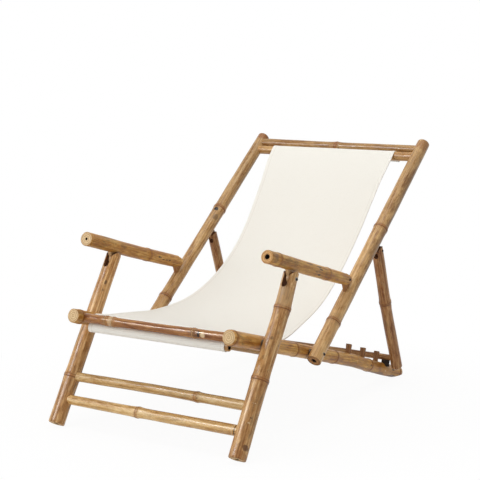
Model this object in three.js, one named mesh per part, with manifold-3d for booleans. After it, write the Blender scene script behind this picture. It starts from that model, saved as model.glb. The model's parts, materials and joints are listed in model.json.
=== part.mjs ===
// Folding bamboo recliner: two seat rails, a hinged back frame, front legs, armrests and a rear prop.
// Millimetres, +Z up, the front of the chair towards -Y, "right" is +X as seen from the front.
import * as THREE from "three";
import { mergeVertices } from "three/addons/utils/BufferGeometryUtils.js";
import Module from "manifold-3d";

const wasm = await Module();
wasm.setup();

// Seat rails, which slope down to the floor at the rear
const railLength = 1003;
const railRadius = 19;
const railSlope = 16.5;
const railEndHeight = 15;
const railHalfSpan = 241;
const railRingShares = [0.043, 0.336, 0.565, 0.79];

// Front legs, hinged on the outside of the rails
const legPivotAlong = 133;
const legAngle = 58.3;
const legRise = 178.5;
const legRadius = 20;
const legRootRadius = 20.5;
const legRingShares = [0.4, 0.8];
const footFlat = 1.5;
const footBore = 6;
const footBoreDepth = 40;

// Back frame, hinged on the rails behind the legs
const backPivotAlong = 390;
const backAngle = 38.1;
const backReach = 843;
const backTail = 26;
const backRadius = 19;
const backRingShares = [0.154, 0.57];
const backBore = 6.5;
const backBoreDepth = 16;
const backCrown = 9;

// Armrests, hinged on ears of the back frame and on the fork of each leg
const armPivotAlong = 228;
const armPivotOffset = 46.5;
const armReach = 431;
const armRadius = 16.5;
const armTailRadius = 15;
const armRingShares = [0.34, 0.86];
const armBore = 5;
const armBoreDepth = 45;

// Prop, hinged on ears behind the back frame, its bar lying on the rails
const propPivotAlong = 419.5;
const propPivotOffset = 37;
const propSpan = 369.5;
const propTail = 31;
const propRadius = 14.5;
const propFootRadius = 16;
const propRingShares = [0.46];
const propBarRadius = 9;

// Crossbars and stretchers
const frontBarAlong = 34;
const frontBarRadius = 14;
const frontBarRingShares = [0.22, 0.79];
const slingBarRadius = 13.5;
const topBarAlong = 809;
const topBarRadius = 11.5;
const topBarRingShares = [0.48];
const slingSlit = 8;
const upperStretcherAlong = 134;
const upperStretcherRadius = 10.5;
const upperStretcherRingShares = [0.7];
const lowerStretcherAlong = 69.5;
const lowerStretcherRadius = 12.5;
const lowerStretcherRingShares = [0.43];
const socketDepth = 13;

// Pegs that the prop bar is caught by
const pegCount = 3;
const pegFirstAlong = 652;
const pegPitch = 94.3;
const pegWidth = 13;
const pegTopWidth = 16.5;
const pegFlareStart = 1;
const pegThickness = 8;
const pegHeight = 24;
const pegHeightShares = [1.08, 1, 0.92];
const pegSeat = 9;

// Sling cloth and the rods in its two sleeves
const slingHalfWidth = 212;
const clothThickness = 2.4;
const rodRadius = 11;
const rodHalfLength = 215;
const rodBore = 7;
const rodBoreDepth = 40;
const slingFrontPull = 596;
const slingBackPull = 315;
const slingFrontAngle = 14.6;
const slingBackAngle = 43.8;
const slingBreak = 0.8;

// How the cloth hangs, at places that are counted from the back hinge
const waistDraw = 18;
const waistPlace = 352;
const waistSpread = 200;
const backSink = 9;
const backSinkPlace = 422;
const backSinkSpread = 110;
const seatSink = 10;
const seatSinkPlace = -78;
const seatSinkSpread = 90;
const edgeSkew = 18;
const edgeSkewPlace = -88;
const edgeSkewSpread = 130;
const barReach = 90;

// Forks, ears, tongues and their bolts
const earThickness = 9;
const slotWidth = 13.5;
const legSlotWidth = 16.5;
const legSlotDepth = 30;
const armSlotDepth = 26;
const propSlotDepth = 20;
const tongueNose = 12;
const tongueRoot = 26;
const tongueThickness = 13.5;
const tongueTip = 6;
const armEarNose = 16;
const armEarRoot = 25.5;
const propEarNose = 11.5;
const propEarRoot = 20;
const earSeat = 9;
const boltRadius = 3;
const boltPlay = 2.2;
const washerRadius = 6;
const washerThickness = 1.6;
const headRadius = 4.4;
const headHeight = 3.6;
const boltInset = 3;
const spacerRadius = 10;
const spacerGap = 2;
const spotDepth = 1.4;

// Clearances and the way round stock is faceted
const fitGap = 0.3;
const forkGap = 1.5;
const overrun = 60;
const ringHeight = 1.3;
const ringHalfWidth = 5;
const edgeBreak = 1.5;
const culmSides = 12;
const boltSides = 12;
const curveSteps = 26;
const noseSteps = 10;

const radians = THREE.MathUtils.degToRad;
const bamboo = new THREE.MeshStandardMaterial({ color: 0xae8c64, roughness: 0.55, metalness: 0 });
const goldenBamboo = new THREE.MeshStandardMaterial({ color: 0xc8a56e, roughness: 0.4, metalness: 0 });
const stainedBamboo = new THREE.MeshStandardMaterial({ color: 0x96603a, roughness: 0.3, metalness: 0 });
const pegWood = new THREE.MeshStandardMaterial({ color: 0x8f6238, roughness: 0.65, metalness: 0 });
const canvas = new THREE.MeshStandardMaterial({ color: 0xf0ede4, roughness: 0.9, metalness: 0 });
const steel = new THREE.MeshStandardMaterial({ color: 0x8d9090, roughness: 0.35, metalness: 1 });

// A closed geometry as a solid, and a solid as a geometry
function solidFrom(geometry) {
  const bare = geometry.clone();
  bare.deleteAttribute("normal");
  bare.deleteAttribute("uv");
  const merged = mergeVertices(bare, 1e-4);
  const triangles = [];
  for (let i = 0; i < merged.index.count; i += 3) {
    const [a, b, c] = [0, 1, 2].map((k) => merged.index.getX(i + k));
    if (a !== b && b !== c && c !== a) triangles.push(a, b, c);
  }
  return new wasm.Manifold(
    new wasm.Mesh({
      numProp: 3,
      vertProperties: merged.attributes.position.array,
      triVerts: new Uint32Array(triangles),
    }),
  );
}

function geometryFrom(solid) {
  const mesh = solid.getMesh();
  const geometry = new THREE.BufferGeometry();
  geometry.setAttribute("position", new THREE.BufferAttribute(mesh.vertProperties, 3));
  geometry.setIndex(new THREE.BufferAttribute(mesh.triVerts, 1));
  const faceted = geometry.toNonIndexed();
  faceted.computeVertexNormals();
  return faceted;
}

const cut = (solid, cutters) => cutters.reduce((left, cutter) => left.subtract(cutter), solid);
const join = (solids) => solids.reduce((whole, more) => whole.add(more));
const moved = (geometry, x, y, z) => geometry.translate(x, y, z);

// A radius that keeps a faceted hole clear of a rod with that radius
const holeRadius = (radius, sides) => (radius + fitGap) / Math.cos(Math.PI / sides);

// A round length of bamboo along +Y, with raised rings, a bored foot or tip and a crowned tip
function culm({ length, root, tip, rings, footHole, footDepth, tipHole, tipDepth, crown }) {
  const radiusAt = (y) => THREE.MathUtils.lerp(root, tip, y / length);
  const points = [];
  const put = (radius, y) => points.push(new THREE.Vector2(radius, y));
  if (footHole) {
    put(0, footDepth);
    put(footHole, footDepth);
    put(footHole, 0);
  } else {
    put(0, 0);
  }
  put(root - edgeBreak, 0);
  put(root, edgeBreak);
  for (const share of rings) {
    const y = share * length;
    put(radiusAt(y), y - ringHalfWidth);
    put(radiusAt(y) + ringHeight, y - ringHalfWidth / 2);
    put(radiusAt(y) + ringHeight / 4, y);
    put(radiusAt(y) + ringHeight, y + ringHalfWidth / 3);
    put(radiusAt(y), y + ringHalfWidth);
  }
  if (crown) {
    const steps = 4;
    for (let i = 0; i < steps; i++) {
      const turn = (i / steps) * (Math.PI / 2);
      put(tip * Math.cos(turn), length - crown + crown * Math.sin(turn));
    }
    put(0, length);
  } else {
    put(tip, length - edgeBreak);
    put(tip - edgeBreak, length);
    if (tipHole) {
      put(tipHole, length);
      put(tipHole, length - tipDepth);
      put(0, length - tipDepth);
    } else {
      put(0, length);
    }
  }
  return new THREE.LatheGeometry(points, culmSides);
}

// A crossbar along X, centred on the chair's middle plane
function crossbar({ halfLength, radius, rings, bore, boreDepth }) {
  const stock = culm({
    length: 2 * halfLength,
    root: radius,
    tip: radius,
    rings,
    footHole: bore,
    footDepth: boreDepth,
    tipHole: bore,
    tipDepth: boreDepth,
  });
  return stock.translate(0, -halfLength, 0).rotateZ(-Math.PI / 2);
}

// A stepped round cutter or pin along X, from a list of [radius, x] corners
function turned(corners, sides) {
  const profile = corners.map(([radius, x]) => new THREE.Vector2(radius, x));
  return new THREE.LatheGeometry(profile, sides).rotateZ(-Math.PI / 2);
}

// A plate in the Y-Z plane, extruded along X and centred on it
function plate(shape, thickness) {
  const flat = new THREE.ExtrudeGeometry(shape, {
    depth: thickness,
    bevelEnabled: false,
    curveSegments: noseSteps,
  });
  flat.translate(0, 0, -thickness / 2);
  const turn = new THREE.Matrix4().makeBasis(
    new THREE.Vector3(0, 1, 0),
    new THREE.Vector3(0, 0, 1),
    new THREE.Vector3(1, 0, 0),
  );
  return flat.applyMatrix4(turn);
}

// A geometry whose points are each moved by a rule
function bent(geometry, move) {
  const places = geometry.attributes.position;
  const point = new THREE.Vector3();
  for (let i = 0; i < places.count; i++) {
    move(point.fromBufferAttribute(places, i));
    places.setXYZ(i, point.x, point.y, point.z);
  }
  geometry.computeVertexNormals();
  return geometry;
}

// An ear: a rounded nose about the origin that widens to its root at a distance along -Z
function earShape(nose, root, depth) {
  const shape = new THREE.Shape();
  shape.moveTo(-root, -depth);
  shape.lineTo(root, -depth);
  shape.lineTo(nose, 0);
  shape.absarc(0, 0, nose, 0, Math.PI, false);
  shape.lineTo(-root, -depth);
  return shape;
}

// The open slot of a fork along Y, with a round bottom, cut right through along Z
function slotCutter(width, bottom, through) {
  const shape = new THREE.Shape();
  const half = width / 2;
  shape.moveTo(-half, overrun);
  shape.lineTo(-half, bottom + half);
  shape.absarc(0, bottom + half, half, Math.PI, 2 * Math.PI, false);
  shape.lineTo(half, overrun);
  shape.lineTo(-half, overrun);
  const block = new THREE.ExtrudeGeometry(shape, {
    depth: 2 * through,
    bevelEnabled: false,
    curveSegments: noseSteps,
  });
  return block.translate(0, 0, -through);
}

// Rounds the end of a fork about the bolt at the origin, beyond which the stock runs along +Y
function endRounder(radius, reach) {
  const shape = new THREE.Shape();
  shape.moveTo(-reach, 0);
  shape.lineTo(-radius, 0);
  shape.absarc(0, 0, radius, Math.PI, 0, true);
  shape.lineTo(reach, 0);
  shape.lineTo(reach, reach);
  shape.lineTo(-reach, reach);
  const turn = new THREE.Matrix4().makeBasis(
    new THREE.Vector3(0, 0, 1),
    new THREE.Vector3(0, 1, 0),
    new THREE.Vector3(-1, 0, 0),
  );
  const block = new THREE.ExtrudeGeometry(shape, {
    depth: 2 * reach,
    bevelEnabled: false,
    curveSegments: noseSteps,
  });
  return block.translate(0, 0, -reach).applyMatrix4(turn);
}

// A hole along X for a bolt, with a flat spot for its washer at each end of a culm's diameter
function boltHole(culmRadius, play, seatRadius) {
  const hole = holeRadius(boltRadius + play, boltSides);
  const seat = holeRadius(seatRadius, boltSides);
  const flat = culmRadius - spotDepth;
  const corners = [
    [0, -overrun],
    [seat, -overrun],
    [seat, -flat],
    [hole, -flat],
    [hole, flat],
    [seat, flat],
    [seat, overrun],
    [0, overrun],
  ];
  return turned(corners, boltSides);
}

// A hole for a fork's bolt, with a washer's flat spot outside and a blind end inside
function forkHole(side, culmRadius, play) {
  const hole = holeRadius(boltRadius + play, boltSides);
  const seat = holeRadius(washerRadius, boltSides);
  const flat = culmRadius - spotDepth;
  const blind = boltInset - culmRadius - fitGap;
  const corners = [
    [0, blind],
    [hole, blind],
    [hole, flat],
    [seat, flat],
    [seat, overrun],
    [0, overrun],
  ];
  return outward(turned(corners, boltSides), side);
}

// A fork's bolt along X, with a washer under its head and its end hidden in the inner cheek
function forkBolt(side, culmRadius) {
  const start = boltInset - culmRadius;
  const end = culmRadius - spotDepth + fitGap;
  const corners = [
    [0, start],
    [boltRadius, start],
    [boltRadius, end],
    ...headCorners(end),
  ];
  return outward(turned(corners, boltSides), side);
}

// The washer and the head of a bolt beyond the face at x = end
function headCorners(end) {
  const seat = end + washerThickness;
  return [
    [washerRadius, end],
    [washerRadius, seat],
    [headRadius, seat],
    [headRadius, seat + headHeight / 2],
    [headRadius / 2, seat + headHeight],
    [0, seat + headHeight],
  ];
}

// A piece along X turned so that its outer end faces away from the chair's middle
const outward = (geometry, side) => (side > 0 ? geometry : geometry.rotateY(Math.PI));

// A bolt along X from its nut at x = start to its head at x = end, with a washer under each
function bolt(start, end) {
  const corners = [
    [0, start - washerThickness - headHeight],
    [headRadius / 2, start - washerThickness - headHeight],
    [headRadius, start - washerThickness - headHeight / 2],
    [headRadius, start - washerThickness],
    [washerRadius, start - washerThickness],
    [washerRadius, start],
    [boltRadius, start],
    [boltRadius, end],
    ...headCorners(end),
  ];
  return turned(corners, boltSides);
}

// A round socket along X in the inner side of a culm, for the end of a crossbar
function socket(side, culmRadius, barRadius) {
  const radius = holeRadius(barRadius, culmSides);
  const bottom = culmRadius - socketDepth - fitGap;
  const corners = [
    [0, bottom],
    [radius, bottom],
    [radius, overrun],
    [0, overrun],
  ];
  const cutter = turned(corners, culmSides);
  return side > 0 ? cutter.rotateY(Math.PI) : cutter;
}

// Places in the Y-Z plane, and directions from an angle above +Y
const direction = (angle) => new THREE.Vector2(Math.cos(angle), Math.sin(angle));
const fromFrame = (origin, angle, along, offset) =>
  origin
    .clone()
    .addScaledVector(direction(angle), along)
    .addScaledVector(direction(angle + Math.PI / 2), offset);

// The linkage: each frame has an origin in the Y-Z plane and the angle of its +Y axis
const railAngle = radians(-railSlope);
const railOrigin = new THREE.Vector2(0, railEndHeight - railLength * Math.sin(railAngle));
const legPivot = fromFrame(railOrigin, railAngle, legPivotAlong, 0);
const backPivot = fromFrame(railOrigin, railAngle, backPivotAlong, 0);
const legSlope = radians(legAngle);
const backSlope = radians(backAngle);
const armPivot = fromFrame(backPivot, backSlope, armPivotAlong, armPivotOffset);
const propPivot = fromFrame(backPivot, backSlope, propPivotAlong, -propPivotOffset);
const forkPivot = fromFrame(legPivot, legSlope, legRise, 0);

// The armrest passes over the fork of the leg and through its own pivot
const forkToArm = armPivot.clone().sub(forkPivot);
const armRise = armRadius + legRadius + forkGap;
const armSlope = forkToArm.angle() - Math.asin(armRise / forkToArm.length());

// The prop bar lies on the rails at the distance that the prop's length gives
const barOffset = railRadius + propBarRadius + fitGap;
const pivotInRail = propPivot.clone().sub(railOrigin).rotateAround(new THREE.Vector2(), -railAngle);
const barAlong = pivotInRail.x + Math.sqrt(propSpan ** 2 - (pivotInRail.y - barOffset) ** 2);
const barPlace = fromFrame(railOrigin, railAngle, barAlong, barOffset);
const propSlope = propPivot.clone().sub(barPlace).angle();

const outerHalfSpan = railHalfSpan + railRadius + spacerGap + legRadius;
const legLower = (legPivot.y + footFlat - legRootRadius * Math.cos(legSlope)) / Math.sin(legSlope);
const slingBarAlong = frontBarAlong + frontBarRadius + slingSlit + slingBarRadius;
const topSlingBarAlong = topBarAlong - topBarRadius - slingSlit - slingBarRadius;

const chair = new THREE.Group();
function frameGroup(origin, angle) {
  const group = new THREE.Group();
  group.position.set(0, origin.x, origin.y);
  group.rotation.x = angle;
  chair.add(group);
  return group;
}
const seatFrame = frameGroup(railOrigin, railAngle);
const legFrame = frameGroup(legPivot, legSlope);
const backFrame = frameGroup(backPivot, backSlope);
const armFrame = frameGroup(armPivot, armSlope);
const propFrame = frameGroup(propPivot, propSlope);

function addMesh(group, name, geometry, material, x, y, z) {
  const mesh = new THREE.Mesh(geometry, material);
  mesh.name = name;
  mesh.position.set(x, y, z);
  group.add(mesh);
}
const sides = [
  { word: "right", side: 1 },
  { word: "left", side: -1 },
];

// A half space below the floor, as seen from a frame with its origin at a place and an angle
function floorCutter(origin, angle) {
  const size = railLength;
  const slab = new THREE.BoxGeometry(size, 2 * size, size);
  slab.translate(0, 0, -size / 2);
  slab.translate(0, -origin.x, -origin.y);
  return slab.rotateX(-angle);
}

// Seat rails, with sockets for the crossbars, holes for both hinge bolts and mortises for the pegs
const pegPlaces = Array.from({ length: pegCount }, (_, i) => pegFirstAlong + i * pegPitch);
function seatRail(side) {
  const stock = culm({ length: railLength, root: railRadius, tip: railRadius, rings: railRingShares });
  const cutters = [
    solidFrom(moved(socket(side, railRadius, frontBarRadius), 0, frontBarAlong, 0)),
    solidFrom(moved(socket(side, railRadius, slingBarRadius), 0, slingBarAlong, 0)),
    solidFrom(moved(boltHole(railRadius, 0, spacerRadius), 0, legPivotAlong, 0)),
    solidFrom(moved(boltHole(railRadius, 0, spacerRadius), 0, backPivotAlong, 0)),
    solidFrom(floorCutter(railOrigin, railAngle)),
  ];
  for (const along of pegPlaces) {
    const mortise = new THREE.BoxGeometry(
      pegWidth + 2 * fitGap,
      pegThickness + 2 * fitGap,
      2 * (pegSeat + fitGap),
    );
    cutters.push(solidFrom(moved(mortise, 0, along, railRadius)));
  }
  return geometryFrom(cut(solidFrom(stock), cutters));
}
for (const { word, side } of sides) {
  addMesh(seatFrame, `seat_rail_${word}`, seatRail(side), bamboo, side * railHalfSpan, 0, 0);
}

// Each peg is a wedge of wood that widens upwards, with its top edges eased
function pegGeometry(height) {
  const shape = new THREE.Shape();
  const half = pegThickness / 2;
  shape.moveTo(-half, -pegSeat);
  shape.lineTo(half, -pegSeat);
  shape.lineTo(half, height - edgeBreak);
  shape.lineTo(half - edgeBreak, height);
  shape.lineTo(edgeBreak - half, height);
  shape.lineTo(-half, height - edgeBreak);
  const flare = pegTopWidth / pegWidth - 1;
  return bent(plate(shape, pegWidth), (point) => {
    const climb = (point.z - pegFlareStart) / (height - pegFlareStart);
    point.x *= 1 + flare * climb;
  });
}
for (const { word, side } of sides) {
  pegPlaces.forEach((along, i) => {
    const name = `peg_${word}_${i + 1}`;
    const peg = pegGeometry(pegHeight * pegHeightShares[i]);
    addMesh(seatFrame, name, peg, pegWood, side * railHalfSpan, along, railRadius);
  });
}

// Bars of the seat frame
const seatBarHalf = railHalfSpan - railRadius + socketDepth;
const frontBar = crossbar({
  halfLength: seatBarHalf,
  radius: frontBarRadius,
  rings: frontBarRingShares,
});
addMesh(seatFrame, "front_crossbar", frontBar, stainedBamboo, 0, frontBarAlong, 0);
const seatSlingBar = crossbar({
  halfLength: seatBarHalf,
  radius: slingBarRadius,
  rings: [],
});
addMesh(seatFrame, "sling_crossbar_front", seatSlingBar, bamboo, 0, slingBarAlong, 0);

// Front legs with a fork at the top, and the stretchers between them
const legLength = legLower + legRise + legRadius;
function frontLeg(side) {
  const stock = culm({
    length: legLength,
    root: legRootRadius,
    tip: legRadius,
    rings: legRingShares,
    footHole: footBore,
    footDepth: footBoreDepth,
  });
  const cutters = [
    moved(slotCutter(legSlotWidth, -legSlotDepth, overrun), 0, legRise, 0),
    moved(endRounder(legRadius - forkGap, overrun), 0, legRise, 0),
    moved(forkHole(side, legRadius, 0), 0, legRise, 0),
    boltHole(legRadius, fitGap, spacerRadius),
    moved(socket(side, legRadius, upperStretcherRadius), 0, upperStretcherAlong - legLower, 0),
    moved(socket(side, legRadius, lowerStretcherRadius), 0, lowerStretcherAlong - legLower, 0),
    floorCutter(legPivot, legSlope),
  ];
  return geometryFrom(cut(solidFrom(moved(stock, 0, -legLower, 0)), cutters.map(solidFrom)));
}
for (const { word, side } of sides) {
  addMesh(legFrame, `front_leg_${word}`, frontLeg(side), bamboo, side * outerHalfSpan, 0, 0);
}
const outerBarHalf = outerHalfSpan - legRadius + socketDepth;
const upperStretcher = crossbar({
  halfLength: outerBarHalf,
  radius: upperStretcherRadius,
  rings: upperStretcherRingShares,
});
addMesh(legFrame, "upper_stretcher", upperStretcher, goldenBamboo, 0, upperStretcherAlong - legLower, 0);
const lowerStretcher = crossbar({
  halfLength: outerBarHalf,
  radius: lowerStretcherRadius,
  rings: lowerStretcherRingShares,
});
addMesh(legFrame, "lower_stretcher", lowerStretcher, goldenBamboo, 0, lowerStretcherAlong - legLower, 0);

// Back side rails with open lower ends and crowned tops, and their crossbars
function backRail(side) {
  const stock = culm({
    length: backTail + backReach,
    root: backRadius,
    tip: backRadius,
    rings: backRingShares,
    footHole: backBore,
    footDepth: backBoreDepth,
    crown: backCrown,
  });
  const mortiseDepth = 2 * (earSeat + fitGap);
  const mortiseWidth = earThickness + 2 * fitGap;
  const armMortise = new THREE.BoxGeometry(mortiseWidth, 2 * (armEarRoot + fitGap), mortiseDepth);
  const propMortise = new THREE.BoxGeometry(mortiseWidth, 2 * (propEarRoot + fitGap), mortiseDepth);
  const cutters = [
    boltHole(backRadius, fitGap, spacerRadius),
    moved(socket(side, backRadius, topBarRadius), 0, topBarAlong, 0),
    moved(socket(side, backRadius, slingBarRadius), 0, topSlingBarAlong, 0),
    moved(armMortise, 0, armPivotAlong, backRadius),
    moved(propMortise, 0, propPivotAlong, -backRadius),
  ];
  return geometryFrom(cut(solidFrom(moved(stock, 0, -backTail, 0)), cutters.map(solidFrom)));
}
for (const { word, side } of sides) {
  addMesh(backFrame, `back_rail_${word}`, backRail(side), bamboo, side * outerHalfSpan, 0, 0);
}
const backBarHalf = outerHalfSpan - backRadius + socketDepth;
const topBar = crossbar({ halfLength: backBarHalf, radius: topBarRadius, rings: topBarRingShares });
addMesh(backFrame, "top_crossbar", topBar, bamboo, 0, topBarAlong, 0);
const topSlingBar = crossbar({
  halfLength: backBarHalf,
  radius: slingBarRadius,
  rings: [],
});
addMesh(backFrame, "sling_crossbar_top", topSlingBar, bamboo, 0, topSlingBarAlong, 0);

// Ears let into the back rails: one in front for the armrest, one behind for the prop
function bored(stock, hole) {
  const corners = [
    [0, -overrun],
    [hole, -overrun],
    [hole, overrun],
    [0, overrun],
  ];
  return geometryFrom(cut(solidFrom(stock), [solidFrom(turned(corners, boltSides))]));
}
const armEarDepth = armPivotOffset - backRadius + earSeat;
const propEarDepth = propPivotOffset - backRadius + earSeat;
const pinHole = holeRadius(boltRadius, boltSides);
const armEar = bored(plate(earShape(armEarNose, armEarRoot, armEarDepth), earThickness), pinHole);
const propEar = bored(plate(earShape(propEarNose, propEarRoot, propEarDepth), earThickness), pinHole);
propEar.rotateX(Math.PI);
for (const { word, side } of sides) {
  const x = side * outerHalfSpan;
  addMesh(backFrame, `arm_ear_${word}`, armEar.clone(), pegWood, x, armPivotAlong, armPivotOffset);
  addMesh(backFrame, `prop_ear_${word}`, propEar.clone(), pegWood, x, propPivotAlong, -propPivotOffset);
}

// Armrests: a fork at the rear end, a bored front end, and a tongue below for the leg's fork
const forkInArm = forkPivot.clone().sub(armPivot).rotateAround(new THREE.Vector2(), -armSlope);
function armrest(side) {
  const length = armReach + armTailRadius;
  const stock = culm({
    length,
    root: armTailRadius,
    tip: armRadius,
    rings: armRingShares,
    tipHole: armBore,
    tipDepth: armBoreDepth,
  });
  stock.rotateZ(Math.PI).translate(0, armTailRadius, 0);
  const mortise = new THREE.BoxGeometry(
    tongueThickness + 2 * fitGap,
    2 * (tongueRoot + fitGap),
    2 * (earSeat + fitGap),
  );
  const cutters = [
    slotCutter(slotWidth, -armSlotDepth, overrun),
    endRounder(armTailRadius - edgeBreak, overrun),
    forkHole(side, armTailRadius, fitGap),
    moved(mortise, 0, forkInArm.x, -armRadius),
  ];
  return geometryFrom(cut(solidFrom(stock), cutters.map(solidFrom)));
}
const tongueDepth = armRise - armRadius + earSeat;
const tongueHole = holeRadius(boltRadius + boltPlay, boltSides);
const tongueWedge = bent(
  plate(earShape(tongueNose, tongueRoot, tongueDepth), tongueThickness),
  (point) => {
    const reach = (point.z + tongueDepth) / (tongueDepth + tongueNose);
    point.x *= THREE.MathUtils.lerp(1, tongueTip / tongueThickness, reach);
  },
);
const tongue = bored(tongueWedge, tongueHole);
tongue.rotateX(Math.PI);
for (const { word, side } of sides) {
  const x = side * outerHalfSpan;
  addMesh(armFrame, `armrest_${word}`, armrest(side), bamboo, x, 0, 0);
  addMesh(armFrame, `arm_tongue_${word}`, tongue.clone(), pegWood, x, forkInArm.x, forkInArm.y);
}

// Prop legs with a fork at the top, and the bar that lies on the rails
function propLeg(side) {
  const stock = culm({
    length: propTail + propSpan + propRadius,
    root: propFootRadius,
    tip: propRadius,
    rings: propRingShares,
  });
  const cutters = [
    slotCutter(slotWidth, -propSlotDepth, overrun),
    endRounder(propRadius - edgeBreak, overrun),
    forkHole(side, propRadius, fitGap),
    moved(socket(side, propRadius, propBarRadius), 0, -propSpan, 0),
  ];
  return geometryFrom(cut(solidFrom(moved(stock, 0, -propTail - propSpan, 0)), cutters.map(solidFrom)));
}
for (const { word, side } of sides) {
  addMesh(propFrame, `prop_leg_${word}`, propLeg(side), bamboo, side * outerHalfSpan, 0, 0);
}
const propBar = crossbar({
  halfLength: outerHalfSpan - propRadius + socketDepth,
  radius: propBarRadius,
  rings: [],
});
addMesh(propFrame, "prop_bar", propBar, bamboo, 0, -propSpan, 0);

// Spacer discs and through bolts of the two rail hinges
const spacerSeat = spotDepth - fitGap;
const innerSpacerFace = railHalfSpan + railRadius - spacerSeat;
function spacer(outerRadius) {
  const outerFace = outerHalfSpan - outerRadius + spacerSeat;
  const bore = holeRadius(boltRadius, boltSides);
  const corners = [
    [bore, innerSpacerFace],
    [spacerRadius, innerSpacerFace],
    [spacerRadius, outerFace],
    [bore, outerFace],
    [bore, innerSpacerFace],
  ];
  return turned(corners, boltSides);
}
const railHinges = [
  { name: "leg", along: legPivotAlong, radius: legRadius },
  { name: "back", along: backPivotAlong, radius: backRadius },
];
for (const { name, along, radius } of railHinges) {
  const nutFace = railHalfSpan - railRadius + spotDepth - fitGap;
  const headFace = outerHalfSpan + radius - spotDepth + fitGap;
  for (const { word, side } of sides) {
    const turn = side > 0 ? 0 : Math.PI;
    const disc = spacer(radius).rotateY(turn);
    const pin = bolt(nutFace, headFace).rotateY(turn);
    addMesh(seatFrame, `${name}_spacer_${word}`, disc, steel, 0, along, 0);
    addMesh(seatFrame, `${name}_bolt_${word}`, pin, steel, 0, along, 0);
  }
}

// Short bolts through the three forks of each side
const forkBolts = [
  { group: legFrame, name: "arm_front_bolt", radius: legRadius, y: legRise, z: 0 },
  {
    group: backFrame,
    name: "arm_rear_bolt",
    radius: armTailRadius,
    y: armPivotAlong,
    z: armPivotOffset,
  },
  {
    group: backFrame,
    name: "prop_bolt",
    radius: propRadius,
    y: propPivotAlong,
    z: -propPivotOffset,
  },
];
for (const { group, name, radius, y, z } of forkBolts) {
  for (const { word, side } of sides) {
    addMesh(group, `${name}_${word}`, forkBolt(side, radius), steel, side * outerHalfSpan, y, z);
  }
}

// Sling rods, caught behind the slit between two crossbars
const sleeveRadius = rodRadius + fitGap + clothThickness;
function rodPlace(wideAlong, wideRadius, slimAlong, slimRadius) {
  const wide = wideRadius + sleeveRadius + fitGap;
  const slim = slimRadius + sleeveRadius + fitGap;
  const apart = slimAlong - wideAlong;
  const step = (wide ** 2 - slim ** 2 + apart ** 2) / (2 * apart);
  return { along: wideAlong + step, offset: -Math.sqrt(wide ** 2 - step ** 2) };
}
const rodGeometry = () =>
  crossbar({
    halfLength: rodHalfLength,
    radius: rodRadius,
    rings: [],
    bore: rodBore,
    boreDepth: rodBoreDepth,
  });
const seatRod = rodPlace(frontBarAlong, frontBarRadius + ringHeight, slingBarAlong, slingBarRadius);
const topRod = rodPlace(topBarAlong, topBarRadius + ringHeight, topSlingBarAlong, slingBarRadius);
addMesh(seatFrame, "sling_rod_front", rodGeometry(), bamboo, 0, seatRod.along, seatRod.offset);
addMesh(backFrame, "sling_rod_top", rodGeometry(), bamboo, 0, topRod.along, topRod.offset);

// Sling: a band that runs from one sleeve through its slit, over the bar and down into the seat
const bandRadius = slingBarRadius + fitGap + clothThickness / 2;
const barCentre = fromFrame(railOrigin, railAngle, slingBarAlong, 0);
const topCentre = fromFrame(backPivot, backSlope, topSlingBarAlong, 0);
const leaveFront = radians(-slingFrontAngle);
const leaveTop = radians(slingBackAngle);
const sagStart = barCentre.clone().addScaledVector(direction(leaveFront + Math.PI / 2), bandRadius);
const sagEnd = topCentre.clone().addScaledVector(direction(leaveTop + Math.PI / 2), bandRadius);
const sag = new THREE.CubicBezierCurve(
  sagStart,
  sagStart.clone().addScaledVector(direction(leaveFront), slingFrontPull),
  sagEnd.clone().addScaledVector(direction(leaveTop), -slingBackPull),
  sagEnd,
);

// The share of the sag curve that lies straight above the back hinge
function shareAbove(y) {
  let low = 0;
  let high = 1;
  while (high - low > 1e-6) {
    const middle = (low + high) / 2;
    if (sag.getPoint(middle).x < y) low = middle;
    else high = middle;
  }
  return low;
}
const breakShare = shareAbove(backPivot.x);
const breakHalfShare = slingBreak / 2 / sag.getLength();

// Points along the sag between two shares, with the last one included
function sagPoints(from, to, steps) {
  return Array.from({ length: steps + 1 }, (_, i) => {
    const share = THREE.MathUtils.lerp(from, to, i / steps);
    return { place: sag.getPoint(share), ahead: sag.getTangent(share) };
  });
}

// Points of the band round a bar, from the slit to where the sag leaves it
function barPoints(centre, from, to, steps) {
  const turn = Math.sign(to - from);
  return Array.from({ length: steps }, (_, i) => {
    const angle = THREE.MathUtils.lerp(from, to, i / steps);
    const place = centre.clone().addScaledVector(direction(angle), bandRadius);
    return { place, ahead: direction(angle + (turn * Math.PI) / 2) };
  });
}

// A band of cloth about its middle line, ending in a sleeve round a rod
function slingSolid(line, rodCentre) {
  const half = clothThickness / 2;
  const edge = (side) =>
    line.map(({ place, ahead }) => {
      const across = new THREE.Vector2(-ahead.y, ahead.x);
      return place.clone().addScaledVector(across, side * half);
    });
  const shape = new THREE.Shape([...edge(-1), ...edge(1).reverse()]);
  const ring = new THREE.Shape();
  ring.absarc(rodCentre.x, rodCentre.y, sleeveRadius, 0, 2 * Math.PI, false);
  const extrude = (outline) => solidFrom(plate(outline, 2 * slingHalfWidth));
  const bore = new THREE.Shape();
  bore.absarc(rodCentre.x, rodCentre.y, holeRadius(rodRadius, 2 * noseSteps), 0, 2 * Math.PI, false);
  const whole = join([extrude(shape), extrude(ring)]);
  const boreCutter = solidFrom(plate(bore, 2 * (slingHalfWidth + overrun)));
  return geometryFrom(cut(whole, [boreCutter]));
}
const arcSteps = 6;
const seatRodCentre = fromFrame(railOrigin, railAngle, seatRod.along, seatRod.offset);
const topRodCentre = fromFrame(backPivot, backSlope, topRod.along, topRod.offset);
const slitPlace = (centre, angle) => centre.clone().addScaledVector(direction(angle), bandRadius);
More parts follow.
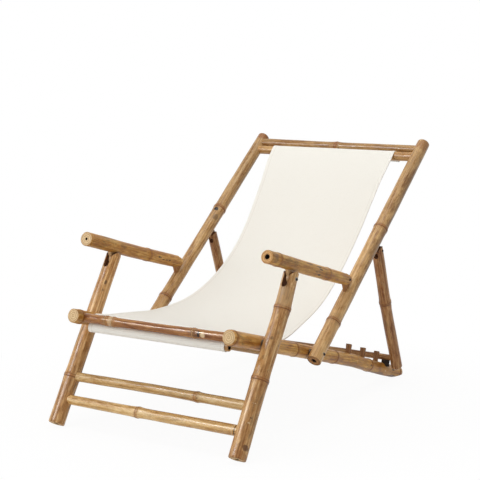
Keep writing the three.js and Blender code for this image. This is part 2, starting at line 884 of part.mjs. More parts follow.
const sleeveStart = (rod, slit) => {
  const ahead = slit.clone().sub(rod).normalize();
  return { place: rod.clone().addScaledVector(ahead, sleeveRadius - clothThickness / 2), ahead };
};
const frontSlitAngle = railAngle + Math.PI;
const topSlitAngle = backSlope;
const seatLine = [
  sleeveStart(seatRodCentre, slitPlace(barCentre, frontSlitAngle)),
  ...barPoints(barCentre, frontSlitAngle, leaveFront + Math.PI / 2, arcSteps),
  ...sagPoints(0, breakShare - breakHalfShare, curveSteps / 2),
];
const backLine = [
  sleeveStart(topRodCentre, slitPlace(topCentre, topSlitAngle)),
  ...barPoints(topCentre, topSlitAngle, leaveTop + Math.PI / 2, arcSteps),
  ...sagPoints(1, breakShare + breakHalfShare, curveSteps).map(({ place, ahead }) => ({
    place,
    ahead: ahead.negate(),
  })),
];

// The cloth draws in at its waist, and one edge of the seat hangs lower than the other
const hump = (y, place, spread) => Math.exp(-(((y - place) / spread) ** 2));
function hang(point) {
  const y = point.y - backPivot.x;
  const free =
    THREE.MathUtils.smoothstep(point.y - sagStart.x, 0, barReach) *
    THREE.MathUtils.smoothstep(sagEnd.x - point.y, 0, barReach);
  const sink =
    backSink * hump(y, backSinkPlace, backSinkSpread) + seatSink * hump(y, seatSinkPlace, seatSinkSpread);
  const skew = edgeSkew * hump(y, edgeSkewPlace, edgeSkewSpread);
  const draw = waistDraw * hump(y, waistPlace, waistSpread);
  point.z -= free * (sink + (skew * point.x) / slingHalfWidth);
  point.x *= 1 - (free * draw) / slingHalfWidth;
}
const slingGroup = frameGroup(new THREE.Vector2(), 0);
const slingSeat = bent(slingSolid(seatLine, seatRodCentre), hang);
const slingBack = bent(slingSolid(backLine, topRodCentre), hang);
addMesh(slingGroup, "sling_seat", slingSeat, canvas, 0, 0, 0);
addMesh(slingGroup, "sling_back", slingBack, canvas, 0, 0, 0);

// The origin is on the floor, under the middle of the whole chair
chair.updateMatrixWorld(true);
const bounds = new THREE.Box3().setFromObject(chair, true);
const middle = bounds.getCenter(new THREE.Vector3());
chair.position.set(-middle.x, -middle.y, -bounds.min.z);

const recliner = new THREE.Group();
recliner.add(chair);

export default recliner;
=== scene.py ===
import json
import math
import random

import bpy
import numpy as np
from mathutils import Matrix, Vector


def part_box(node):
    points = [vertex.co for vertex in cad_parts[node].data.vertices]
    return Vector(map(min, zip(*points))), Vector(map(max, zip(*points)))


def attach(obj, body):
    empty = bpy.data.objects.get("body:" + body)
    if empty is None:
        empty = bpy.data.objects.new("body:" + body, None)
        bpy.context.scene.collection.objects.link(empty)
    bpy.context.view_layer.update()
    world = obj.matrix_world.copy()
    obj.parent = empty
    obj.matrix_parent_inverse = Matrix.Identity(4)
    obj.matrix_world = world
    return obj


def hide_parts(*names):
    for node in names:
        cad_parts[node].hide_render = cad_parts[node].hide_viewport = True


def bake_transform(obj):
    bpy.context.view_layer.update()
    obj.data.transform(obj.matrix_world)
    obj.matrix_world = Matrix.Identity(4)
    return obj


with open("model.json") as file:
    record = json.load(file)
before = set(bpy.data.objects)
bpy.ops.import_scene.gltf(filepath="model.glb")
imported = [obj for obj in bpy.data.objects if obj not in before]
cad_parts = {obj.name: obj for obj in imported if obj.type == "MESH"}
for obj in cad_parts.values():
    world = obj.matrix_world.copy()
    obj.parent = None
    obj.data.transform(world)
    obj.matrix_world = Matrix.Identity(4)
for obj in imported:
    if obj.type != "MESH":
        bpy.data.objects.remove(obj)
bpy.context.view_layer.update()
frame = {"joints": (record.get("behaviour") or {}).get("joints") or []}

# Camera, read from the photograph's perspective: its place is counted from the back hinge
CAMERA_OFFSET = Vector((1.8513, -2.89504, 0.794469))
CAMERA_YAW = math.radians(32.05)
CAMERA_PITCH = math.radians(-8.48)
FOCAL_PIXELS = 1268.64
FRAME_PIXELS = 480
SENSOR_WIDTH = 36.0

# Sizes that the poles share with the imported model, in metres
RAIL_RADIUS = 0.019
RAIL_LENGTH = 1.003
LEG_PIVOT_ALONG = 0.133
LEG_RADIUS = 0.020
LEG_ROOT_RADIUS = 0.0205
BACK_RADIUS = 0.019
BACK_REACH = 0.843
BACK_TAIL = 0.026
BACK_CROWN = 0.009
ARM_RADIUS = 0.0165
ARM_TAIL_RADIUS = 0.015
ARM_REACH = 0.431
ARM_RISE = 0.038
PROP_RADIUS = 0.0145
PROP_TAIL = 0.031
BAR_RADIUS = 0.0135
ROD_RADIUS = 0.011
SOCKET_DEPTH = 0.013
FORK_WIDTH = 0.0135
LEG_SLOT_WIDTH = 0.0165
LEG_SLOT_DEPTH = 0.030
ARM_SLOT_DEPTH = 0.026
PROP_SLOT_DEPTH = 0.020

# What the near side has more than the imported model: a longer rail and a longer foot of the prop
NEAR_TIP_EXTRA = 0.008
NEAR_FOOT_EXTRA = 0.006

# How finely the poles are meshed
POLE_SIDES = 44
POLE_STEP = 0.004
RING_STEP = 0.0008
RING_REACH = 0.011

MILLIMETRE = 0.001
ACROSS = Vector((1, 0, 0))
BACKWARD = Vector((0, 1, 0))
UPWARD = Vector((0, 0, 1))
SIDES = (("right", 1), ("left", -1))


def srgb(red, green, blue):
    """A linear colour from the red, green and blue that a screen shows, out of 255."""
    linear = [((c / 255 + 0.055) / 1.055) ** 2.4 if c > 10 else c / 255 / 12.92 for c in (red, green, blue)]
    return (*linear, 1.0)


def centre_of(node):
    low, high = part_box(node)
    return (low + high) / 2


def pivot_of(node):
    """The middle of a bolt, put in the plane between the two sides."""
    return centre_of(node) * Vector((0, 1, 1))


# The view's axes, and the ray that a pixel of the photograph looks along
LEVEL_AHEAD = Vector((-math.sin(CAMERA_YAW), math.cos(CAMERA_YAW), 0))
VIEW_AHEAD = LEVEL_AHEAD * math.cos(CAMERA_PITCH) + UPWARD * math.sin(CAMERA_PITCH)
VIEW_RIGHT = Vector((math.cos(CAMERA_YAW), math.sin(CAMERA_YAW), 0))
VIEW_UP = VIEW_RIGHT.cross(VIEW_AHEAD)


def ray_of(pixel):
    across = (pixel[0] - FRAME_PIXELS / 2) / FOCAL_PIXELS
    down = (pixel[1] - FRAME_PIXELS / 2) / FOCAL_PIXELS
    return (VIEW_AHEAD + across * VIEW_RIGHT - down * VIEW_UP).normalized()


def add_camera():
    data = bpy.data.cameras.new("camera")
    data.sensor_width = SENSOR_WIDTH
    data.lens = FOCAL_PIXELS / FRAME_PIXELS * SENSOR_WIDTH
    data.clip_start = 0.05
    data.clip_end = 50
    camera = bpy.data.objects.new("camera", data)
    camera.location = CAMERA_PLACE
    camera.rotation_euler = (math.pi / 2 + CAMERA_PITCH, 0, CAMERA_YAW)
    bpy.context.scene.collection.objects.link(camera)
    bpy.context.scene.camera = camera


def square_to(axis):
    """The direction square to an axis of the Y-Z plane, a quarter turn on."""
    return Vector((0, -axis.z, axis.y))


def arm_axis():
    """The armrest points forward, and passes over the fork of the leg."""
    reach = FORK_PIVOT - ARM_PIVOT
    turn = math.asin(ARM_RISE / reach.length)
    return (Matrix.Rotation(-turn, 3, "X") @ reach).normalized()


# Hinges and directions of the frame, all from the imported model
HINGES = {joint["name"]: Vector((0, *joint["pos_m"][1:])) for joint in frame["joints"]}
LEG_PIVOT = HINGES["leg_fold"]
BACK_PIVOT = HINGES["back_fold"]
ARM_PIVOT = HINGES["arm_right_fold"]
PROP_PIVOT = HINGES["prop_fold"]
FORK_PIVOT = pivot_of("arm_front_bolt_right")
CAMERA_PLACE = BACK_PIVOT + CAMERA_OFFSET
RAIL_X = centre_of("seat_rail_right").x
OUTER_X = centre_of("front_leg_right").x
RAIL_AXIS = (BACK_PIVOT - LEG_PIVOT).normalized()
LEG_AXIS = (FORK_PIVOT - LEG_PIVOT).normalized()
BACK_AXIS = (centre_of("top_crossbar") - BACK_PIVOT).normalized()
PROP_AXIS = (PROP_PIVOT - centre_of("prop_bar")).normalized()
ARM_AXIS = arm_axis()
RAIL_START = LEG_PIVOT - RAIL_AXIS * LEG_PIVOT_ALONG

# The leg starts with its lower rim a little below the floor, which cuts its foot level
FOOT_MARGIN = 0.0015
LEG_START = LEG_PIVOT - LEG_AXIS * (LEG_PIVOT.z + FOOT_MARGIN - LEG_ROOT_RADIUS * LEG_AXIS.y) / LEG_AXIS.z


# Materials


class Graph:
    """The nodes of a material or of the world, added one at a time."""

    def __init__(self, owner):
        owner.use_nodes = True
        self.owner = owner
        self.tree = owner.node_tree
        self.shader = self.tree.nodes.get("Principled BSDF")

    def feed(self, socket, value):
        if isinstance(value, bpy.types.NodeSocket):
            self.tree.links.new(value, socket)
        else:
            socket.default_value = value

    def add(self, kind, inputs=(), **settings):
        node = self.tree.nodes.new(kind)
        for name, value in settings.items():
            setattr(node, name, value)
        for key, value in inputs:
            self.feed(node.inputs[key], value)
        return node

    def number(self, operation, *values):
        return self.add("ShaderNodeMath", enumerate(values), operation=operation).outputs[0]

    def times(self, first, second):
        return self.number("MULTIPLY", first, second)

    def plus(self, first, second):
        return self.number("ADD", first, second)

    def vector(self, operation, *values):
        node = self.add("ShaderNodeVectorMath", enumerate(values), operation=operation)
        return node.outputs["Value" if operation in ("LENGTH", "DOT_PRODUCT") else "Vector"]

    def attribute(self, name, output="Vector"):
        return self.add("ShaderNodeAttribute", attribute_name=name).outputs[output]

    def split(self, vector):
        return self.add("ShaderNodeSeparateXYZ", [(0, vector)]).outputs

    def grey(self, level):
        return self.add("ShaderNodeCombineColor", [(0, level), (1, level), (2, level)]).outputs[0]

    def noise(self, vector, across, along, shift, detail=3.0, roughness=0.55):
        """Noise that is so many times finer than a metre across the grain and along it."""
        place = (shift, shift * 0.7, shift * 1.3)
        scaled = self.vector("MULTIPLY_ADD", vector, (across, across, along), place)
        inputs = [("Vector", scaled), ("Scale", 1.0), ("Detail", detail), ("Roughness", roughness)]
        return self.add("ShaderNodeTexNoise", inputs).outputs[0]

    def eased(self, value, low, high, to_low=0.0, to_high=1.0):
        inputs = [(0, value), (1, low), (2, high), (3, to_low), (4, to_high)]
        return self.add("ShaderNodeMapRange", inputs, interpolation_type="SMOOTHSTEP").outputs[0]

    def ramp(self, factor, stops):
        node = self.add("ShaderNodeValToRGB", [(0, factor)])
        elements = node.color_ramp.elements
        while len(elements) < len(stops):
            elements.new(0.5)
        for element, (place, colour) in zip(elements, stops):
            element.position = place
            element.color = colour
        return node.outputs[0]

    def mixed(self, factor, first, second, blend="MIX"):
        inputs = [(0, factor), (6, first), (7, second)]
        return self.add("ShaderNodeMix", inputs, data_type="RGBA", blend_type=blend).outputs[2]

    def bump(self, height, strength, distance):
        inputs = [("Height", height), ("Strength", strength), ("Distance", distance)]
        self.feed(self.shader.inputs["Normal"], self.add("ShaderNodeBump", inputs).outputs[0])

    def finish(self, colour, roughness, **constants):
        self.feed(self.shader.inputs["Base Color"], colour)
        self.feed(self.shader.inputs["Roughness"], roughness)
        for name, value in constants.items():
            self.shader.inputs[name.replace("_", " ")].default_value = value
        return self.owner


def material_graph(name):
    return Graph(bpy.data.materials.new(name))


class Tone:
    """A kind of bamboo: the colours of its skin, stains and rings, its gloss, mottling and slot."""

    def __init__(self, deep, middle, pale, stain, ring, collar, roughness, mottle, slot="bamboo"):
        self.skin = [(0.40, srgb(*deep)), (0.5, srgb(*middle)), (0.6, srgb(*pale))]
        self.pale = srgb(*pale)
        self.stain = srgb(*stain)
        self.ring = srgb(*ring)
        self.collar = srgb(*collar)
        self.roughness = roughness
        self.mottle = mottle
        self.slot = slot


TONES = {
    "weathered": Tone((140, 94, 50), (186, 138, 84), (224, 188, 136),
                      (88, 50, 22), (88, 48, 20), (168, 106, 50), 0.32, 0.65),
    "seasoned": Tone((146, 92, 36), (190, 133, 58), (224, 180, 106),
                     (90, 52, 20), (86, 46, 18), (168, 106, 42), 0.4, 0.6),
    "dusky": Tone((122, 76, 40), (164, 114, 68), (204, 162, 112),
                  (84, 48, 22), (80, 44, 20), (150, 96, 48), 0.3, 0.5),
    "smooth": Tone((158, 112, 62), (200, 156, 100), (222, 184, 130),
                   (98, 58, 26), (88, 50, 24), (168, 108, 54), 0.26, 0.35),
    "amber": Tone((146, 98, 48), (188, 140, 84), (216, 176, 118),
                  (104, 62, 28), (92, 52, 22), (160, 104, 52), 0.24, 0.4, "golden_bamboo"),
    "golden": Tone((172, 122, 62), (216, 172, 108), (242, 210, 156),
                   (126, 80, 38), (108, 64, 28), (184, 126, 66), 0.24, 0.4, "golden_bamboo"),
    "stained": Tone((116, 66, 28), (156, 100, 52), (188, 134, 74),
                    (78, 40, 16), (78, 40, 18), (190, 144, 88), 0.13, 0.3, "stained_bamboo"),
}
SPOT_COLOURS = {
    "black": srgb(38, 28, 22),
    "brown": srgb(104, 66, 38),
    "dusk": srgb(88, 66, 46),
    "pale": srgb(224, 198, 156),
    "cream": srgb(226, 194, 146),
    "rust": srgb(150, 92, 48),
}


def bamboo_skin(pole):
    """A culm's skin: streaks and fibres along it, stains, waxy patches, rings and its own marks, some of
    which are painted shadow and painted shade, and painted light and shade that makes it brighter or darker
    from root to tip.
    """
    tone = pole.form["tone"]
    graph = material_graph("bamboo_" + pole.node)
    grain = graph.attribute("grain")
    streaks = graph.noise(grain, 170, 6, pole.seed, 3, 0.6)
    mottle = graph.noise(grain, 85, 26, pole.seed + 3, 6, 0.7)
    patches = graph.noise(grain, 26, 9, pole.seed + 7, 4, 0.62)
    ticks = graph.noise(grain, 480, 70, pole.seed + 11, 3, 0.6)
    specks = graph.noise(grain, 380, 210, pole.seed + 13, 2)
    fibres = graph.noise(grain, 1100, 30, pole.seed + 17, 2)
    colour = graph.ramp(graph.plus(graph.times(streaks, 0.5), graph.times(mottle, 0.5)), tone.skin)
    stained = graph.times(graph.eased(patches, 0.5, 0.64), graph.eased(mottle, 0.44, 0.6))
    colour = graph.mixed(graph.times(stained, tone.mottle), colour, tone.stain)
    waxy = graph.times(graph.eased(patches, 0.5, 0.38), graph.eased(mottle, 0.56, 0.42, 0.0, 0.6))
    colour = graph.mixed(graph.times(waxy, 0.7), colour, tone.pale)
    marks = graph.times(graph.eased(ticks, 0.6, 0.7), graph.eased(patches, 0.42, 0.56, 0.15, 0.7))
    colour = graph.mixed(marks, colour, tone.stain)
    dots = graph.times(graph.eased(specks, 0.66, 0.74), tone.mottle)
    colour = graph.mixed(dots, colour, tone.stain)
    # painted light and shade: the pole's tint makes its colour brighter or darker from root to tip
    tint = graph.eased(graph.split(grain)[2], 0, pole.length, *pole.form.get("tint", (1.0, 1.0)))
    line = graph.times(graph.eased(fibres, 0.3, 0.7, 0.88, 1.08), tint)
    colour = graph.mixed(1.0, colour, graph.grey(line), "MULTIPLY")
    colour = graph.mixed(graph.attribute("collar", "Fac"), colour, tone.collar)
    colour = graph.mixed(graph.attribute("scar", "Fac"), colour, tone.ring)
    # the pole's marks: stains and scars, and on some poles painted shadow and painted shade
    for place, reach, colour_name, strength in pole.spots:
        scaled = graph.vector("DIVIDE", graph.vector("SUBTRACT", grain, place), reach)
        ragged = graph.plus(graph.vector("LENGTH", scaled), graph.eased(mottle, 0.3, 0.7, -0.25, 0.25))
        mask = graph.eased(ragged, 1.15, 0.7, 0.0, strength)
        colour = graph.mixed(mask, colour, SPOT_COLOURS[colour_name])
    roughness = graph.eased(mottle, 0.38, 0.62, tone.roughness - 0.05, tone.roughness + 0.12)
    graph.bump(graph.plus(graph.times(fibres, 0.5), graph.times(mottle, 0.9)), 0.3, 0.0008)
    return graph.finish(colour, roughness, Specular_IOR_Level=0.3)


def end_grain(name, pale, dark, seed):
    """A sawn end: wavy rings round its middle, dots of fibre and a dark line just inside the skin."""
    pale, dark = srgb(*pale), srgb(*dark)
    graph = material_graph(name)
    grain = graph.attribute("grain")
    flat_place = graph.vector("MULTIPLY", grain, (1, 1, 0))
    radius = graph.vector("LENGTH", flat_place)
    waves = graph.noise(grain, 110, 110, seed + 5, 3)
    turns = graph.plus(graph.times(radius, 1150), graph.times(waves, 9))
    rings = graph.eased(graph.number("SINE", turns), -0.6, 0.9, 0.0, 0.65)
    dots = graph.noise(flat_place, 700, 0, seed, 1)
    colour = graph.mixed(rings, pale, dark)
    colour = graph.mixed(graph.eased(dots, 0.57, 0.68, 0.0, 0.4), colour, dark)
    colour = graph.mixed(graph.eased(radius, 0.0145, 0.0185, 0.0, 0.7), colour, dark)
    graph.bump(dots, 0.35, 0.0005)
    return graph.finish(colour, 0.7)


def plain_wood(name, pale, deep, seed, roughness=0.65):
    """Sawn wood with its grain along the piece."""
    pale, deep = srgb(*pale), srgb(*deep)
    graph = material_graph(name)
    grain = graph.attribute("grain")
    bands = graph.noise(grain, 160, 9, seed, 4, 0.6)
    pores = graph.noise(grain, 900, 60, seed + 2, 2)
    colour = graph.ramp(bands, [(0.34, deep), (0.62, pale)])
    colour = graph.mixed(graph.eased(pores, 0.58, 0.72, 0.0, 0.55), colour, deep)
    graph.bump(pores, 0.3, 0.0005)
    return graph.finish(colour, roughness)


THREAD_PITCH = 0.0011
STITCH_PITCH = 0.0034
HEM_WIDTH = 0.011


def canvas_cloth(name):
    """Plain-woven cotton: fine crossed threads, slubs and a stitched line near each side edge."""
    graph = material_graph(name)
    cloth = graph.attribute("cloth")
    across, along, edge = graph.split(cloth)
    threads = [graph.number("SINE", graph.times(way, 2 * math.pi / THREAD_PITCH)) for way in (across, along)]
    slub = graph.noise(cloth, 260, 40, 2.0, 3)
    colour = graph.mixed(graph.eased(slub, 0.5, 0.75, 0.0, 0.2), srgb(249, 247, 240), srgb(230, 225, 212))
    from_seam = graph.number("ABSOLUTE", graph.number("SUBTRACT", edge, HEM_WIDTH))
    stitches = graph.number("SINE", graph.times(along, 2 * math.pi / STITCH_PITCH))
    seam = graph.times(graph.eased(from_seam, 0.0011, 0.0004), graph.eased(stitches, -0.3, 0.2))
    colour = graph.mixed(graph.times(seam, 0.45), colour, srgb(196, 188, 170))
    weave = graph.times(graph.plus(*threads), 0.25)
    graph.bump(graph.number("SUBTRACT", graph.plus(weave, slub), seam), 0.35, 0.0004)
    return graph.finish(colour, 0.92, Sheen_Weight=0.12, Sheen_Roughness=0.6, Specular_IOR_Level=0.2)


def metal(name, colour, roughness, metallic):
    """Metal with dull patches."""
    graph = material_graph(name)
    dull = graph.noise(graph.attribute("grain"), 420, 420, 1.0, 3)
    tint = graph.mixed(graph.eased(dull, 0.45, 0.8, 0.0, 0.35), srgb(*colour), srgb(120, 104, 84))
    gloss = graph.eased(dull, 0.3, 0.8, roughness - 0.06, roughness + 0.14)
    graph.bump(dull, 0.15, 0.0003)
    return graph.finish(tint, gloss, Metallic=metallic)


END_PALE = end_grain("end_grain_pale", (232, 204, 154), (172, 122, 70), 1.0)
END_ORANGE = end_grain("end_grain_orange", (222, 172, 102), (158, 98, 46), 4.0)
END_BURNT = end_grain("end_grain_burnt", (196, 142, 84), (92, 54, 28), 7.0)
# the inner wall of a bore is coloured near black: painted shade of the hollow
HOLLOW_SHADE = plain_wood("hollow_shade_wood", (46, 30, 20), (24, 16, 12), 3.0, 0.85)
# cut faces of the poles: their dark brown is partly painted shade, so that the floor-cut faces show as a
# dark line along the bottoms of the poles
RAW_WOOD = plain_wood("cut_bamboo", (104, 68, 38), (64, 40, 22), 6.0, 0.8)
SLOT_WOOD = plain_wood("slot_bamboo", (150, 102, 60), (96, 60, 34), 7.0, 0.8)
PEG_WOOD = plain_wood("peg_hardwood", (158, 112, 68), (104, 66, 36), 8.0)
PEG_TOP = plain_wood("peg_end_grain", (92, 58, 36), (58, 34, 20), 8.0, 0.8)
# near-black wood of the rest pad: painted shadow where the prop's bar, leg and rail meet
PAD_SHADOW_WOOD = plain_wood("pad_shadow_wood", (52, 34, 22), (30, 20, 12), 8.0, 0.85)
EAR_WOOD = plain_wood("ear_hardwood", (176, 124, 72), (122, 76, 40), 9.0)
TONGUE_WOOD = plain_wood("tongue_wood", (206, 168, 116), (166, 124, 78), 10.0, 0.5)
PIN_WOOD = plain_wood("pin_wood", (226, 196, 150), (170, 128, 84), 12.0)
WASHER_STEEL = metal("washer_steel", (158, 154, 146), 0.34, 1.0)
# the spacers' dull steel is darkened: painted shade of the narrow gaps where they sit
SPACER_STEEL_SHADED = metal("spacer_steel_shaded", (96, 86, 74), 0.55, 0.8)
BLACK_STEEL = metal("black_steel", (40, 38, 36), 0.36, 0.6)
CANVAS = canvas_cloth("canvas_weave")


def culm(root, tip, tone, **rest):
    """One culm's own form: its radii at root and tip, its kind of bamboo, and what else sets it apart."""
    return {"root": root, "tip": tip, "tone": TONES[tone], **rest}


# What may set a culm apart: its tint at root and tip, which makes its colour brighter or darker as painted
# light and shade, how far its middle leans aside, over what stretch its end hangs and how far down, and how
# its ends are cut
ROD = culm(ROD_RADIUS, ROD_RADIUS, "weathered", root_bore=0.007, root_depth=0.04,
           tip_bore=0.007, tip_depth=0.04)
CULMS = {
    "seat_rail_right": culm(0.0190, 0.0184, "seasoned", tint=(1.14, 1.10), tip_ease=0.006,
                            droop=(0.333, 0.0100)),
    "seat_rail_left": culm(0.0184, 0.0190, "seasoned"),
    "front_leg_right": culm(0.0228, 0.0200, "weathered", tint=(1.16, 1.14), lean=(0.0, 0.0042),
                            lean_power=2.6),
    "front_leg_left": culm(0.0216, 0.0202, "weathered", tint=(1.08, 1.30)),
    "back_rail_right": culm(0.0197, 0.0190, "smooth", tint=(1.17, 0.86)),
    "back_rail_left": culm(0.0189, 0.0184, "smooth", tint=(1.05, 0.78)),
    "armrest_right": culm(0.0166, 0.0172, "seasoned", tip_bore=0.0066, end=END_ORANGE),
    "armrest_left": culm(0.0184, 0.0192, "seasoned", tip_bore=0.0036, lean=(0.0018, 0.0)),
    "prop_leg_right": culm(0.0166, 0.0160, "dusky", tint=(1.14, 1.14), lean=(0.0025, -0.0022)),
    "prop_leg_left": culm(0.0160, PROP_RADIUS, "dusky"),
    "front_crossbar": culm(0.0122, 0.0122, "stained", lean=(-0.0014, 0.0)),
    "sling_crossbar_front": culm(BAR_RADIUS, BAR_RADIUS, "weathered"),
    "upper_stretcher": culm(0.0124, 0.0132, "golden", tint=(0.87, 0.87), lean=(0.0022, 0.0)),
    "lower_stretcher": culm(0.0126, 0.0146, "golden"),
    "top_crossbar": culm(0.0146, 0.0124, "amber", tint=(0.80, 0.80)),
    "sling_crossbar_top": culm(BAR_RADIUS, BAR_RADIUS, "amber"),
    "prop_bar": culm(0.009, 0.009, "dusky"),
    "sling_rod_front": ROD,
    "sling_rod_top": ROD,
}

# Rings, marks and dowel pins, by the pixel of the photograph where each shows
RINGS = {
    "front_leg_right": [(281, 309.5), (258, 381)],
    "front_leg_left": [(65, 375), (84, 322)],
    "armrest_right": [(277.5, 258), (327, 271)],
    "armrest_left": [(148, 249)],
    "back_rail_right": [(375, 227), (330, 322)],
    "back_rail_left": [(218, 209), (163, 297)],
    "seat_rail_right": [(231.5, 335), (292.6, 347), (332, 356), (366.6, 364.5), (395, 370)],
    "seat_rail_left": [(78, 317)],
    "prop_leg_right": [(384, 303)],
    "front_crossbar": [(113, 322), (106, 321), (193, 336)],
    "upper_stretcher": [(197, 396)],
    "lower_stretcher": [(138, 411)],
    "top_crossbar": [(336, 145)],
}

# A mark is its pixel, its reach along the pole and round it in millimetres, its colour and its strength
SPOTS = {
    "front_leg_right": [
        (246, 448.5, 9, 10, "brown", 0.85),
        (236, 459, 5, 30, "dusk", 0.5),
        (233, 453, 5, 4, "pale", 0.6),
        (251, 418, 2, 4, "dusk", 0.7),
        (249, 423, 2, 4, "pale", 0.8),
        (264, 399, 1.8, 1.8, "pale", 0.9),
        (283, 316, 1.7, 1.7, "pale", 0.9),
        (267, 341, 1.4, 1.4, "pale", 0.8),
        (278.4, 346, 1.4, 1.4, "black", 0.9),
        (255.3, 403.5, 1.6, 1.6, "pale", 0.9),
        (284, 296, 30, 30, "cream", 0.38),
        (289, 303, 7, 2, "dusk", 0.6),
        (238, 455, 12, 30, "rust", 0.45),
        (268, 384, 12, 8, "brown", 0.7),
        (272, 338, 4, 4, "dusk", 0.5),
        (263, 357, 6, 3, "dusk", 0.4),
    ],
    "front_leg_left": [
        (106, 282, 7, 4, "dusk", 0.75),
        (103, 290, 4, 3, "dusk", 0.5),
    ],
    "armrest_right": [
        (320, 267, 13, 2.2, "black", 0.85),
        (322, 269.8, 10, 2.2, "black", 0.8),
        (319.5, 275.3, 8, 3.4, "black", 0.9),
        (317, 272, 8, 1.6, "dusk", 0.8),
        (310, 263.5, 22, 1.8, "dusk", 0.8),
        (319.5, 267, 12, 1, "black", 1.0),
        (321, 269, 10, 0.9, "black", 1.0),
        (320, 271, 8, 0.8, "dusk", 0.9),
        (318.5, 275, 5, 1.5, "black", 0.8),
        (277, 259, 10, 12, "dusk", 0.35),
        (276, 256, 18, 10, "brown", 0.3),
    ],
    "armrest_left": [
        (159.5, 257, 5, 3, "black", 0.85),
        (163.5, 259.5, 7, 2.2, "black", 0.8),
        (170, 260.5, 6, 2.6, "black", 0.8),
        (161, 257.5, 6, 2.8, "dusk", 0.75),
        (167, 260, 8, 2.2, "dusk", 0.6),
        (124, 246, 16, 6, "dusk", 0.3),
    ],
    "back_rail_right": [
        # painted shade down the rail's shaded side
        (407.6, 193.2, 150, 27, "brown", 0.50),
        (380.6, 245.7, 130, 26, "brown", 0.45),
        (353.6, 298.2, 110, 20, "brown", 0.36),
        (375, 225, 4, 4, "black", 0.9),
        (424, 145, 22, 30, "rust", 0.55),
    ],
    "back_rail_left": [
        (216.3, 208.7, 6, 7, "black", 1.0),
        (216, 217, 12, 10, "dusk", 0.55),
        (264, 135, 20, 30, "rust", 0.75),
    ],
    "seat_rail_right": [
        # painted shadow where the front leg crosses the rail
        (263, 346, 10, 16, "black", 0.55),
        (371.3, 364, 4, 4, "black", 0.8),
        (357.4, 361, 3, 3, "pale", 0.6),
        (386, 368, 4, 3, "pale", 0.6),
        # painted shadow beside the foot of the back rail, in the gap between the two poles
        (309, 354, 14, 16, "black", 0.45),
        # painted shadow under the prop's bar, between the prop leg and the rail
        (388, 360, 16, 9, "black", 0.8),
        # painted shade along the underside of the rail's drooping end
        (392, 373.6, 45, 10, "brown", 0.9),
        (376, 370.8, 60, 9, "brown", 0.7),
        (352, 366.5, 80, 8, "brown", 0.5),
        # painted shadow line where the foot of the prop leg meets the rail
        (394, 366.5, 12, 4, "black", 0.8),
    ],
    "front_crossbar": [
        (202.2, 334.8, 6.6, 7.2, "pale", 0.95),
        (197.9, 334.0, 3.6, 8.4, "black", 1.0),
        (195, 334, 6, 20, "dusk", 0.3),
        (109.2, 321, 7, 30, "pale", 0.5),
        (168, 330, 4, 1.2, "black", 0.6),
    ],
    "top_crossbar": [
        (335.5, 144, 6, 20, "rust", 0.55),
        (338.5, 148, 3, 3, "black", 0.8),
    ],
    "upper_stretcher": [(197, 398, 3, 4, "brown", 0.6)],
    "lower_stretcher": [
        (234, 431, 1.8, 30, "black", 0.75),
        (231.5, 430, 1.6, 30, "pale", 0.5),
    ],
    "prop_leg_right": [(386, 318, 30, 1.4, "black", 0.6)],
}
PINS = {
    "back_rail_right": [(366, 265), (352, 293)],
    "front_leg_right": [(253.5, 403), (268, 370)],
    "seat_rail_right": [(351.4, 361.4)],
}


# Meshes


def mesh_object(name, vertices, faces, slots, materials):
    mesh = bpy.data.meshes.new(name)
    mesh.from_pydata([tuple(v) for v in vertices], [], faces)
    for material in materials:
        mesh.materials.append(material)
    mesh.polygons.foreach_set("material_index", slots)
    mesh.update()
    made = bpy.data.objects.new(name, mesh)
    bpy.context.scene.collection.objects.link(made)
    return made


def write_attribute(made, name, values):
    kind = "FLOAT_VECTOR" if values.ndim == 2 else "FLOAT"
    attribute = made.data.attributes.new(name, kind, "POINT")
    attribute.data.foreach_set("vector" if values.ndim == 2 else "value", values.astype(np.float32).ravel())


def soften(made, angle):
    """Smooth shading, with edges sharper than an angle kept crisp."""
    made.data.polygons.foreach_set("use_smooth", [True] * len(made.data.polygons))
    made.data.set_sharp_from_angle(angle=math.radians(angle))


def write_grain(made, origin, up, side, along):
    """Writes each point's place in the piece's own frame, with the grain along its third axis."""
    places = np.zeros(len(made.data.vertices) * 3)
    made.data.vertices.foreach_get("co", places)
    away = places.reshape(-1, 3) - np.array(origin)
    local = np.stack([away @ np.array(v) for v in (up, side, along)], axis=1)
    write_attribute(made, "grain", local)
    return local


def modified(made, kind, **settings):
    """Gives a piece one modifier and keeps the mesh that comes of it."""
    modifier = made.modifiers.new(kind.lower(), kind)
    for name, value in settings.items():
        setattr(modifier, name, value)
    graph = bpy.context.evaluated_depsgraph_get()
    result = bpy.data.meshes.new_from_object(made.evaluated_get(graph))
    made.modifiers.clear()
    old = made.data
    made.data = result
    bpy.data.meshes.remove(old)


def carve(made, cutter, operation):
    """Cuts a piece with another, which is used up."""
    modified(made, "BOOLEAN", object=cutter, operation=operation, solver="EXACT", material_mode="TRANSFER")
    bpy.data.objects.remove(cutter)


def prism(name, outline, half, origin, along, up, material, through=ACROSS):
    """A closed outline in the plane of two directions, as thick as twice a half in a third one."""
    count = len(outline)
    points = [origin + along * a + up * b + through * x for x in (-half, half) for a, b in outline]
    faces = [tuple(range(count)), tuple(range(2 * count - 1, count - 1, -1))]
    for i in range(count):
        k = (i + 1) % count
        faces.append((i, i + count, k + count, k))
    if through.dot(along.cross(up)) > 0:
        faces = [tuple(reversed(face)) for face in faces]
    return mesh_object(name, points, faces, [0] * len(faces), [material])


def arc(centre, radius, start, end, steps):
    turns = [start + (end - start) * i / steps for i in range(steps + 1)]
    return [(centre[0] + radius * math.cos(t), centre[1] + radius * math.sin(t)) for t in turns]


